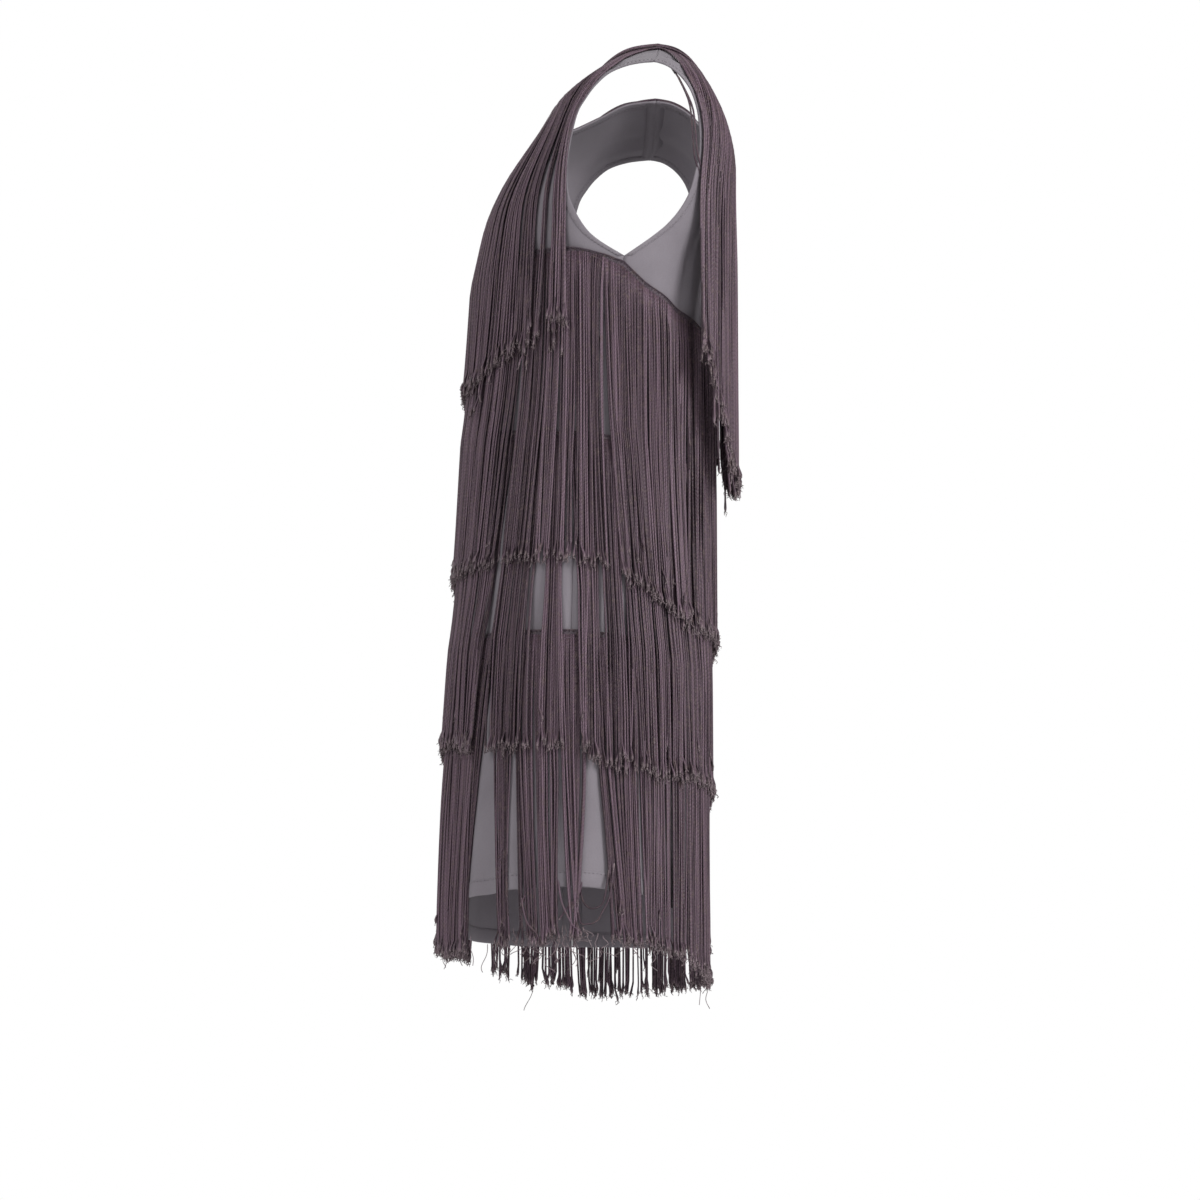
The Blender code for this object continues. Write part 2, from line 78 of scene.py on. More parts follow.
class Facing(Enum):
    """Which way a panel faces, as the sign of its outward Y."""

    FRONT = -1
    BACK = 1

    @property
    def word(self) -> str:
        """The word used in the names of pieces."""
        return self.name.lower()


class Side(Enum):
    """The wearer's side, as the sign of X."""

    LEFT = 1
    RIGHT = -1


def smoothstep(low: float, high: float, value: np.ndarray) -> np.ndarray:
    """Returns 0 below low and 1 above high, with a soft change between them.

    Args:
        low: The value where the change starts.
        high: The value where the change ends.
        value: The numbers to change.

    Returns:
        The changed numbers, from 0 to 1.
    """
    part = np.clip((value - low) / (high - low), 0.0, 1.0)
    return part * part * (3.0 - 2.0 * part)


def unit(vectors: np.ndarray) -> np.ndarray:
    """Returns the vectors, the last axis of an array, at length 1."""
    return vectors / np.maximum(np.linalg.norm(vectors, axis=-1, keepdims=True), 1e-12)


def run_lengths(points: np.ndarray) -> np.ndarray:
    """Returns the length of a line of points up to each of them."""
    steps = np.linalg.norm(np.diff(points, axis=0), axis=1)
    return np.concatenate([[0.0], np.cumsum(steps)])


def interpolated(targets: np.ndarray | float, runs: np.ndarray, values: np.ndarray) -> np.ndarray:
    """Returns points or directions between those known along a line.

    Args:
        targets: The wanted lengths.
        runs: The lengths where the values are known, in rising order.
        values: The known points or directions, one a row.

    Returns:
        One for each target, along the last axis.
    """
    return np.stack([np.interp(targets, runs, values[:, axis]) for axis in range(3)], axis=-1)


def curved(before: np.ndarray, start: np.ndarray, end: np.ndarray, after: np.ndarray,
           share: float) -> np.ndarray:
    """Returns a point of the smooth curve that runs through four points.

    Args:
        before: The point before the start.
        start: Where the share is 0.
        end: Where the share is 1.
        after: The point after the end.
        share: Place between the start and the end.

    Returns:
        The point.
    """
    return 0.5 * (2 * start + (end - before) * share
                  + (2 * before - 5 * start + 4 * end - after) * share * share
                  + (3 * start - before - 3 * end + after) * share * share * share)


def quads(numbers: np.ndarray, turned: bool = False) -> np.ndarray:
    """Returns the faces between the rows and columns of a grid of point numbers, or turns them."""
    faces = np.stack([numbers[:-1, :-1], numbers[:-1, 1:], numbers[1:, 1:], numbers[1:, :-1]], axis=-1)
    return (faces[:, :, ::-1] if turned else faces).reshape(-1, 4)


def tree_of(points: np.ndarray, faces: np.ndarray) -> BVHTree:
    """Returns the tree of a surface, to find its nearest point and to cast rays at."""
    return BVHTree.FromPolygons([tuple(point) for point in points.reshape(-1, 3)], faces.tolist())


@dataclass
class MeshParts:
    """Vertices, faces and texture coordinates that are gathered for one mesh."""

    vertices: list[np.ndarray] = field(default_factory=list)
    loops: list[np.ndarray] = field(default_factory=list)
    totals: list[np.ndarray] = field(default_factory=list)
    uvs: list[np.ndarray] = field(default_factory=list)
    count: int = 0

    def add_points(self, points: np.ndarray) -> int:
        """Adds points and returns the number of the first."""
        first = self.count
        self.vertices.append(points.reshape(-1, 3))
        self.count += len(self.vertices[-1])
        return first

    def add_faces(self, first: int, faces: np.ndarray, uvs: np.ndarray) -> None:
        """Adds faces that all have the same number of corners.

        Args:
            first: Number of the point that the corner numbers count from.
            faces: Corner numbers, one face a row.
            uvs: One texture coordinate for each corner, shaped as faces with a last axis of 2.
        """
        self.loops.append((faces + first).ravel())
        self.totals.append(np.full(len(faces), faces.shape[1]))
        self.uvs.append(uvs.reshape(-1, 2))

    def add_tubes(self, paths: np.ndarray, outs: np.ndarray, radii: np.ndarray, sides: int,
                  first: int = 0, share_from: float = 0.0) -> None:
        """Adds closed tubes, one round each path.

        Args:
            paths: Centre lines, shaped tubes by points by 3.
            outs: A direction away from the cloth at each point, of the same shape.
            radii: Radius at each point, shaped tubes by points.
            sides: Number of sides of each tube.
            first: Number of the first tube, which its texture coordinate carries.
            share_from: Share of a strand's length at a tube's start, in its texture coordinate.
        """
        tubes, points = radii.shape
        along = unit(np.gradient(paths, axis=1))
        across = unit(np.cross(along, outs))
        out = np.cross(across, along)
        angles = 2.0 * math.pi * np.arange(sides) / sides
        ring = (across[:, :, None] * np.cos(angles)[None, None, :, None]
                + out[:, :, None] * np.sin(angles)[None, None, :, None])
        vertices = paths[:, :, None] + ring * radii[:, :, None, None]
        tube, point, side = np.meshgrid(np.arange(tubes), np.arange(points - 1), np.arange(sides),
                                        indexing="ij")
        base = tube * points * sides
        next_side = (side + 1) % sides
        faces = np.stack([base + point * sides + side, base + (point + 1) * sides + side,
                          base + (point + 1) * sides + next_side, base + point * sides + next_side],
                         axis=-1).reshape(-1, 4)
        around = first + tube + side / sides
        next_around = first + tube + (side + 1) / sides
        left = 1.0 - share_from
        share = share_from + left * point / (points - 1)
        next_share = share + left / (points - 1)
        uvs = np.stack([np.stack([around, share], -1), np.stack([around, next_share], -1),
                        np.stack([next_around, next_share], -1), np.stack([next_around, share], -1)],
                       axis=-2)
        origin = self.add_points(vertices)
        self.add_faces(origin, faces, uvs)
        starts = np.arange(tubes)[:, None] * points * sides + np.arange(sides)[None, :]
        ends = (starts + (points - 1) * sides)[:, ::-1]
        middle = first + np.arange(tubes)[:, None] + np.full((1, sides), 0.5)
        for caps, end in ((starts, 0.0), (ends, 1.0)):
            self.add_faces(origin, caps, np.stack([middle, np.full(caps.shape, end)], -1))

    def add_band(self, line: np.ndarray, across: np.ndarray, outs: np.ndarray,
                 section: tuple[Pair, ...], closed: bool, pitch: float = 10.0 * MM) -> None:
        """Adds a closed band that follows a line.

        Args:
            line: The line, one point a row.
            across: Direction across the band at each point.
            outs: Direction off the cloth at each point.
            section: Corners of the band's section, in millimetres across and outward.
            closed: Whether the band's end meets its start.
            pitch: Length along the band of one texture unit.
        """
        rails = np.stack([line + across * (a * MM) + outs * (b * MM) for a, b in section], axis=1)
        stations, corners = rails.shape[:2]
        runs = run_lengths(line) / pitch
        station, corner = np.meshgrid(np.arange(stations if closed else stations - 1),
                                      np.arange(corners), indexing="ij")
        other = (station + 1) % stations
        following = (corner + 1) % corners
        faces = np.stack([station * corners + corner, other * corners + corner,
                          other * corners + following, station * corners + following],
                         axis=-1).reshape(-1, 4)
        middle = stations // 2
        widest = int(np.argmax([b for _, b in section]))
        a, b, c = (rails.reshape(-1, 3)[faces[middle * corners + widest]][k] for k in (0, 1, 2))
        turned = np.dot(np.cross(b - a, c - a), outs[middle]) < 0
        if turned:
            faces = faces[:, ::-1]
        places = np.stack([np.repeat(runs, corners), np.tile(np.arange(corners) / corners, stations)],
                          axis=1)
        origin = self.add_points(rails)
        self.add_faces(origin, faces, places[faces])
        if closed:
            return
        start = np.arange(corners)[None, :]
        end = start[:, ::-1] + (stations - 1) * corners
        for cap in (start, end):
            self.add_faces(origin, cap[:, ::-1] if turned else cap, np.zeros((1, corners, 2)))

    def build(self, name: str, material: bpy.types.Material) -> bpy.types.Object:
        """Makes one object of all the faces, smooth shaded, and fixes it to the body.

        Args:
            name: Name of the piece.
            material: Its material.

        Returns:
            The new object.
        """
        mesh = bpy.data.meshes.new(name)
        vertices = np.concatenate(self.vertices).astype(np.float32)
        loops = np.concatenate(self.loops).astype(np.int32)
        totals = np.concatenate(self.totals)
        mesh.vertices.add(len(vertices))
        mesh.vertices.foreach_set("co", vertices.ravel())
        mesh.loops.add(len(loops))
        mesh.loops.foreach_set("vertex_index", loops)
        mesh.polygons.add(len(totals))
        starts = np.concatenate([[0], np.cumsum(totals)[:-1]]).astype(np.int32)
        mesh.polygons.foreach_set("loop_start", starts)
        layer = mesh.uv_layers.new(name=UV_NAME)
        layer.data.foreach_set("uv", np.concatenate(self.uvs).astype(np.float32).ravel())
        mesh.update(calc_edges=True)
        mesh.shade_smooth()
        mesh.materials.append(material)
        piece = bpy.data.objects.new(name, mesh)
        bpy.context.scene.collection.objects.link(piece)
        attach(piece, BODY)
        LOG.info("%s: %d points, %d faces", name, len(vertices), len(totals))
        return piece


class NodeSheet:
    """A node tree with short ways to add and join nodes."""

    def __init__(self, tree: bpy.types.NodeTree) -> None:
        """Takes the tree that the nodes go in."""
        self.tree = tree

    def node(self, kind: str, **settings: object) -> bpy.types.Node:
        """Adds a node and sets its properties.

        Args:
            kind: Blender's type name of the node.
            **settings: Properties of the node.

        Returns:
            The new node.
        """
        made = self.tree.nodes.new(kind)
        for name, value in settings.items():
            setattr(made, name, value)
        return made

    def feed(self, socket: bpy.types.NodeSocket, value: object) -> None:
        """Joins a socket to another, or sets its number or colour."""
        if isinstance(value, bpy.types.NodeSocket):
            self.tree.links.new(value, socket)
        else:
            socket.default_value = value

    def math(self, operation: str, *values: object) -> bpy.types.NodeSocket:
        """Adds a Math node and returns its output."""
        made = self.node("ShaderNodeMath", operation=operation)
        for socket, value in zip(made.inputs, values):
            self.feed(socket, value)
        return made.outputs[0]

    def blend(self, kind: str, factor: object, first: object, second: object) -> bpy.types.NodeSocket:
        """Adds a colour Mix node of that blend type and returns its output."""
        made = self.node("ShaderNodeMix", data_type="RGBA", blend_type=kind)
        self.feed(made.inputs[0], factor)
        self.feed(made.inputs[6], first)
        self.feed(made.inputs[7], second)
        return made.outputs[2]

    def spread(self, value: object, low: float, high: float, first: float = 0.0,
               last: float = 1.0) -> bpy.types.NodeSocket:
        """Returns the value moved from the range first to last to the range low to high."""
        made = self.node("ShaderNodeMapRange")
        self.feed(made.inputs[0], value)
        made.inputs[1].default_value = first
        made.inputs[2].default_value = last
        made.inputs[3].default_value = low
        made.inputs[4].default_value = high
        return made.outputs[0]

    def for_camera(self, plain: bpy.types.NodeSocket, seen: bpy.types.NodeSocket,
                   share: float) -> bpy.types.NodeSocket:
        """Mixes in what only the camera sees.

        Args:
            plain: The shader that lights the rest of the scene.
            seen: The shader that is mixed in for the camera.
            share: How much of it is mixed in.

        Returns:
            The mixed shader.
        """
        made = self.node("ShaderNodeMixShader")
        rays = self.node("ShaderNodeLightPath")
        self.feed(made.inputs[0], self.math("MULTIPLY", rays.outputs["Is Camera Ray"], share))
        self.feed(made.inputs[1], plain)
        self.feed(made.inputs[2], seen)
        return made.outputs[0]

    def noise(self, vector: object, scale: float, detail: float) -> bpy.types.NodeSocket:
        """Adds a Noise Texture and returns its value."""
        made = self.node("ShaderNodeTexNoise")
        self.feed(made.inputs["Vector"], vector)
        made.inputs["Scale"].default_value = scale
        made.inputs["Detail"].default_value = detail
        return made.outputs["Fac"]


class EffectGroup:
    """A shader node group that more than one finish places with its own values."""

    def __init__(self, name: str, inputs: dict[str, str], outputs: dict[str, str]) -> None:
        """Makes an empty group.

        Args:
            name: Name of the group.
            inputs: Socket types by name, such as NodeSocketFloat.
            outputs: The same for what it puts out.
        """
        self.group = bpy.data.node_groups.new(name, "ShaderNodeTree")
        for title, kind in inputs.items():
            self.group.interface.new_socket(name=title, in_out="INPUT", socket_type=kind)
        for title, kind in outputs.items():
            self.group.interface.new_socket(name=title, in_out="OUTPUT", socket_type=kind)
        self.sheet = NodeSheet(self.group)
        self.start = self.sheet.node("NodeGroupInput")
        self.end = self.sheet.node("NodeGroupOutput")

    def put_out(self, **values: bpy.types.NodeSocket) -> None:
        """Joins the group's outputs, named without spaces."""
        for name, value in values.items():
            self.sheet.feed(self.end.inputs[name], value)

    def place(self, sheet: NodeSheet, **values: object) -> bpy.types.Node:
        """Places the group in a material.

        Args:
            sheet: The material's nodes.
            **values: Numbers or sockets for the group's inputs.

        Returns:
            The placed group node.
        """
        made = sheet.node("ShaderNodeGroup")
        made.node_tree = self.group
        for name, value in values.items():
            sheet.feed(made.inputs[name], value)
        return made


def twisted_yarn_group() -> EffectGroup:
    """Makes the effect of yarn twisted from two plies.

    Returns:
        The group, with Height of the plies, a mask of painted shade in the grooves between them,
        Side, a mask of painted shade where a strand lies against its neighbours, Tone of the strand
        and End, which is 1 at a strand's cut end.
    """
    effect = EffectGroup("twisted_yarn", {"Turns": "NodeSocketFloat", "Fuzz": "NodeSocketFloat"},
                         {name: "NodeSocketFloat"
                          for name in ("Height", "Groove", "Side", "Tone", "End")})
    sheet = effect.sheet
    place = sheet.node("ShaderNodeUVMap", uv_map=UV_NAME)
    parts = sheet.node("ShaderNodeSeparateXYZ")
    sheet.feed(parts.inputs[0], place.outputs[0])
    strand = sheet.node("ShaderNodeTexWhiteNoise", noise_dimensions="1D")
    sheet.feed(strand.inputs["W"], sheet.math("FLOOR", parts.outputs[0]))
    turn = sheet.math("MULTIPLY_ADD", parts.outputs[1], effect.start.outputs["Turns"], parts.outputs[0])
    turn = sheet.math("MULTIPLY_ADD", strand.outputs["Value"], STRAND_PHASE, turn)
    # Painted shade on a strand's sides: near 1 on the faces of the tube that look along the cloth,
    # towards its neighbours, and 0 on its outer and inner faces.
    facing = sheet.math("SINE", sheet.math("MULTIPLY", parts.outputs[0], 2.0 * math.pi))
    facing = sheet.math("ABSOLUTE", facing)
    wave = sheet.math("ABSOLUTE", sheet.math("SINE", sheet.math("MULTIPLY", turn, 2.0 * math.pi)))
    where = sheet.node("ShaderNodeTexCoord")
    fibre = sheet.noise(where.outputs["Object"], FIBRE_SCALE, 2.0)
    rough = sheet.math("MULTIPLY", sheet.math("SUBTRACT", fibre, 0.5), effect.start.outputs["Fuzz"])
    # Painted shade: one mask darkens the colour in the grooves between the plies, the other where a
    # strand lies against its neighbours.
    effect.put_out(
        Height=sheet.math("ADD", wave, rough),
        Groove=sheet.math("POWER", sheet.math("SUBTRACT", 1.0, wave), 2.0),
        Side=sheet.spread(facing, 1.0, 0.0, 0.05, 0.8),
        Tone=sheet.math("ADD", strand.outputs["Value"], rough),
        End=sheet.math("MULTIPLY", sheet.spread(parts.outputs[1], 0.0, 1.0, 0.93, 0.985),
                       sheet.spread(fibre, 0.25, 1.0, 0.40, 0.60)),
    )
    return effect


def soft_weave_group() -> EffectGroup:
    """Makes the effect of a fine, plain, slightly uneven cloth.

    Returns:
        The group, with the Height of the threads and the Tone of larger, soft clouds.
    """
    effect = EffectGroup("soft_weave", {"Threads": "NodeSocketFloat", "Cloud": "NodeSocketFloat"},
                         {name: "NodeSocketFloat" for name in ("Height", "Tone")})
    sheet = effect.sheet
    place = sheet.node("ShaderNodeUVMap", uv_map=UV_NAME)
    parts = sheet.node("ShaderNodeSeparateXYZ")
    sheet.feed(parts.inputs[0], place.outputs[0])
    waves = []
    for axis in (0, 1):
        turn = sheet.math("MULTIPLY", parts.outputs[axis], effect.start.outputs["Threads"])
        waves.append(sheet.math("SINE", turn))
    where = sheet.node("ShaderNodeTexCoord")
    cloud = sheet.noise(where.outputs["Object"], CLOUD_SCALE, 3.0)
    fine = sheet.noise(where.outputs["Object"], FUZZ_SCALE, 2.0)
    effect.put_out(
        Height=sheet.math("ADD", sheet.math("MULTIPLY", waves[0], waves[1]), fine),
        Tone=sheet.math("MULTIPLY_ADD", sheet.math("SUBTRACT", cloud, 0.5),
                        effect.start.outputs["Cloud"], fine),
    )
    return effect


@dataclass(frozen=True, kw_only=True)
class Finish:
    """A dull material between two tones, with the relief of its threads."""

    name: str
    dark: Triple
    light: Triple
    roughness: float
    sheen: float
    depth: float
    specular: float = 0.35
    sheen_roughness: float = 0.4
    relief: float = 0.8

    def placed(self, sheet: NodeSheet, group: EffectGroup) -> bpy.types.Node:
        """Places the effect of the threads in the material."""
        raise NotImplementedError

    def tinted(self, sheet: NodeSheet, effect: bpy.types.Node) -> bpy.types.NodeSocket:
        """Returns the colour, from the darker tone to the lighter one."""
        return sheet.blend("MIX", effect.outputs["Tone"], (*self.dark, 1.0), (*self.light, 1.0))

    def material(self, group: EffectGroup) -> bpy.types.Material:
        """Makes the material, with the effect placed in it."""
        made = bpy.data.materials.new(self.name)
        made.use_nodes = True
        sheet = NodeSheet(made.node_tree)
        shader = made.node_tree.nodes["Principled BSDF"]
        effect = self.placed(sheet, group)
        sheet.feed(shader.inputs["Base Color"], self.tinted(sheet, effect))
        shader.inputs["Roughness"].default_value = self.roughness
        shader.inputs["Specular IOR Level"].default_value = self.specular
        shader.inputs["Sheen Weight"].default_value = self.sheen
        shader.inputs["Sheen Roughness"].default_value = self.sheen_roughness
        bump = sheet.node("ShaderNodeBump")
        bump.inputs["Strength"].default_value = self.relief
        bump.inputs["Distance"].default_value = self.depth
        sheet.feed(bump.inputs["Height"], effect.outputs["Height"])
        sheet.feed(shader.inputs["Normal"], bump.outputs["Normal"])
        return made


@dataclass(frozen=True, kw_only=True)
class YarnFinish(Finish):
    """Twisted viscose yarn, or thread, in a range of tones."""

    end: Triple
    turns: float
    # How much painted shade darkens the grooves between the plies, and the sides of a strand.
    groove: float = 0.45
    side: float = 0.0
    fleck: Triple = (0.15, 0.105, 0.095)

    def placed(self, sheet: NodeSheet, group: EffectGroup) -> bpy.types.Node:
        """Places the twist of the plies in the material."""
        return group.place(sheet, Turns=self.turns, Fuzz=0.5)

    def tinted(self, sheet: NodeSheet, effect: bpy.types.Node) -> bpy.types.NodeSocket:
        """Returns the colour, with flecks, lighter cut ends, and painted shade in the grooves between
        the plies and on the sides of a strand.
        """
        colour = super().tinted(sheet, effect)
        where = sheet.node("ShaderNodeTexCoord")
        noise = sheet.noise(where.outputs["Object"], FLECK_SCALE, 3.0)
        colour = sheet.blend("MIX", sheet.spread(noise, 0.0, 0.7, 0.5, 0.78), colour, (*self.fleck, 1.0))
        colour = sheet.blend("MIX", sheet.math("MULTIPLY", effect.outputs["End"], 0.7), colour,
                             (*self.end, 1.0))
        # Painted shade: the grooves between the plies and the sides of a strand are blended towards near
        # black, less so at the cut ends.
        shade = sheet.math("MAXIMUM", sheet.math("MULTIPLY", effect.outputs["Groove"], self.groove),
                           sheet.math("MULTIPLY", effect.outputs["Side"], self.side))
        shade = sheet.math("MULTIPLY", shade, sheet.spread(effect.outputs["End"], 1.0, 0.3))
        return sheet.blend("MIX", shade, colour, PAINTED_SHADE_COLOUR)


@dataclass(frozen=True, kw_only=True)
class ClothFinish(Finish):
    """Fine dull jersey, with a slight sheen."""

    def placed(self, sheet: NodeSheet, group: EffectGroup) -> bpy.types.Node:
        """Places the fine threads of the cloth in the material."""
        return group.place(sheet, Threads=2.0 * math.pi / WEAVE_PITCH, Cloud=1.6)


# The fringe yarn's side value paints strong shade on the sides of each strand.
FRINGE_YARN = YarnFinish(name="fringe yarn", dark=(0.046, 0.025, 0.036), light=(0.184, 0.118, 0.158),
                         end=(0.420, 0.335, 0.345), turns=46.0, roughness=0.46, sheen=0.04,
                         depth=0.35 * MM, side=0.85)
HEADING_YARN = YarnFinish(name="heading yarn", dark=(0.055, 0.038, 0.050),
                          light=(0.085, 0.060, 0.078), end=(0.07, 0.05, 0.07), turns=1.0,
                          roughness=0.55, sheen=0.10, depth=0.3 * MM)
SEWING_THREAD = YarnFinish(name="sewing thread", dark=(0.135, 0.118, 0.135),
                           light=(0.175, 0.155, 0.175), end=(0.15, 0.13, 0.15), turns=2.0,
                           roughness=0.5, sheen=0.1, depth=0.1 * MM, groove=0.3)
DRESS_CLOTH = ClothFinish(name="dress cloth", dark=(0.175, 0.156, 0.177), light=(0.216, 0.195, 0.218),
                          roughness=0.74, sheen=0.10, depth=0.06 * MM, specular=0.3,
                          sheen_roughness=0.5, relief=0.2)


@dataclass
class Finishes:
    """The dress's materials, built once."""

    fringe: bpy.types.Material
    heading: bpy.types.Material
    thread: bpy.types.Material
    cloth: bpy.types.Material

    @classmethod
    def build(cls) -> "Finishes":
        """Makes the effect groups and the materials that use them."""
        yarn = twisted_yarn_group()
        weave = soft_weave_group()
        return cls(FRINGE_YARN.material(yarn), HEADING_YARN.material(yarn),
                   SEWING_THREAD.material(yarn), DRESS_CLOTH.material(weave))


@dataclass(frozen=True)
class Station:
    """One level of a half panel, in millimetres, as in the pattern.

    The inner end lies on the centre line or the neckline, the outer end on the side seam or the
    armhole. turn is how far the cloth turns between them, in degrees.
    """

    name: str
    inner: Triple
    outer: Triple
    turn: float
    steps: int


FRONT_STATIONS = (
    Station("hem", (0, -201, -836), (205, -80, -828), 90, 2),
    Station("thigh", (0, -198, -740), (201, -80, -735), 90, 3),
    Station("hip", (0, -191, -620), (193, -79, -615), 90, 2),
    Station("high hip", (0, -184, -510), (179, -76, -508), 90, 2),
    Station("waist", (0, -179, -400), (161, -68, -400), 90, 2),
    Station("under bust", (0, -174, -310), (155, -54, -312), 90, 2),
    Station("underarm", (0, -170, -232), (156, -30, -230), 90, 1),
    Station("bust", (0, -167, -200), (153, -62, -207), 84, 1),
    Station("upper bust", (0, -160, -163), (148, -80, -175), 76, 1),
    Station("chest", (0, -146, -126), (145, -84, -149), 70, 1),
    Station("upper chest", (0, -127, -91), (143, -82, -122), 66, 1),
    Station("neck centre", (0, -103, -56), (142, -75, -88), 62, 1),
    Station("neck lower curve", (30, -97, -51), (143, -66, -71), 58, 1),
    Station("neck upper curve", (55, -79, -38), (145, -56, -58), 54, 1),
    Station("neck side", (70, -54, -21), (147, -43, -47), 48, 1),
    Station("strap front", (76, -27, -5), (149, -24, -40), 45, 1),
    Station("shoulder", (78, 3, 0), (150, -2, -37), 45, 1),
)
BACK_STATIONS = (
    Station("hem", (0, 39, -858), (205, -80, -828), 90, 2),
    Station("thigh", (0, 42, -755), (201, -80, -735), 90, 3),
    Station("hip", (0, 45, -628), (193, -79, -615), 90, 2),
    Station("high hip", (0, 47, -512), (179, -76, -508), 90, 2),
    Station("waist", (0, 49, -400), (161, -68, -400), 90, 2),
    Station("under blades", (0, 52, -310), (155, -54, -312), 90, 2),
    Station("underarm", (0, 60, -230), (156, -30, -230), 90, 1),
    Station("lower blades", (0, 68, -190), (151, 8, -200), 82, 1),
    Station("blades", (0, 75, -154), (147, 28, -173), 74, 1),
    Station("neck centre", (0, 76, -122), (144, 37, -146), 68, 1),
    Station("neck lower V", (22, 76, -104), (142, 41, -122), 64, 1),
    Station("neck mid V", (42, 72, -83), (142, 41, -100), 60, 1),
    Station("neck upper V", (57, 64, -60), (142, 39, -82), 56, 1),
    Station("neck side", (68, 52, -37), (144, 33, -64), 52, 1),
    Station("strap back", (74, 37, -16), (146, 23, -50), 48, 1),
    Station("strap top", (77, 20, -4), (148, 11, -41), 45, 1),
    Station("shoulder", (78, 3, 0), (150, -2, -37), 45, 1),
)
NECK_CENTRE = "neck centre"
UNDERARM = "underarm"
GIRTH_POWER = 2.2
HALF_SEAM_GAP = 0.15 * MM


@dataclass(frozen=True)
class Crease:
    """A soft trough or ridge in the cloth, from a low place to a high one.

    A place is the share across the half panel and the height in millimetres. depth is out of the
    cloth, so a trough's is below 0. A hem crease keeps its full depth at its low end.
    """

    side: Side
    low: Pair
    high: Pair
    width: float
    depth: float
    bow: float = 0.0
    to_hem: bool = False


def mirrored_creases(creases: tuple[Crease, ...], shift: float, share: float) -> tuple[Crease, ...]:
    """Returns like creases for the other side, moved and weakened so that the two sides differ.

    Args:
        creases: Creases of the left side.
        shift: How far each moves across the half panel, in turn one way and the other.
        share: Depth of a new crease as a share of the old one.

    Returns:
        The creases of the right side.
    """
    made = []
    for number, one in enumerate(creases):
        move = shift * (1 if number % 2 else -1)
        lower = 9.0 * (number % 3 - 1)
        made.append(Crease(Side.RIGHT, (one.low[0] + move, one.low[1] + lower),
                           (one.high[0] - 0.5 * move, one.high[1] - lower), 1.15 * one.width,
                           share * one.depth, -one.bow, one.to_hem))
    return tuple(made)


LEFT_FRONT_CREASES = tuple(Crease(Side.LEFT, *row) for row in (
    ((0.60, -840), (0.66, -600), 15, 3.4, 0.010, True),
    ((0.69, -840), (0.71, -640), 11, -3.6, -0.008, True),
    ((0.77, -840), (0.76, -560), 14, 2.6, 0.006, True),
    ((0.86, -840), (0.84, -650), 12, -3.2, 0.0, True),
    ((0.45, -840), (0.50, -590), 20, -3.5, 0.0, True),
    ((0.28, -840), (0.26, -620), 22, 3.0, 0.0, True),
    ((0.12, -840), (0.14, -650), 20, -3.2, 0.0, True),
    ((0.70, -575), (0.74, -440), 10, -1.6, 0.01),
    ((0.80, -590), (0.83, -500), 8, 1.1, 0.0),
    ((0.78, -255), (0.93, -165), 9, -1.6, -0.01),
    ((0.70, -235), (0.86, -140), 8, 1.2, 0.01),
    ((0.62, -60), (0.50, 50), 5, 1.1, 0.0),
    ((0.84, -70), (0.78, 40), 4, -0.9, 0.0),
))
LEFT_BACK_CREASES = tuple(Crease(Side.LEFT, *row) for row in (
    ((0.85, -850), (0.83, -640), 14, -3.4, 0.006, True),
    ((0.74, -850), (0.75, -600), 15, 3.0, -0.006, True),
    ((0.60, -850), (0.58, -640), 18, -3.6, 0.0, True),
    ((0.42, -855), (0.44, -600), 20, 3.4, 0.01, True),
    ((0.24, -860), (0.22, -640), 20, -3.4, 0.0, True),
    ((0.62, -330), (0.66, -180), 13, -2.2, 0.014),
    ((0.74, -350), (0.80, -205), 12, 1.8, -0.01),
    ((0.84, -300), (0.90, -215), 9, -1.5, 0.0),
    ((0.50, -300), (0.56, -150), 12, 1.6, 0.01),
    ((0.82, -130), (0.62, 60), 5, 1.5, 0.02),
    ((0.70, -120), (0.40, 50), 5, -1.3, 0.0),
    ((0.93, -110), (0.88, 40), 4, -1.0, 0.0),
))
FRONT_CREASES = LEFT_FRONT_CREASES + mirrored_creases(LEFT_FRONT_CREASES, 0.025, 0.9)
BACK_CREASES = LEFT_BACK_CREASES + mirrored_creases(LEFT_BACK_CREASES, 0.03, 0.85)


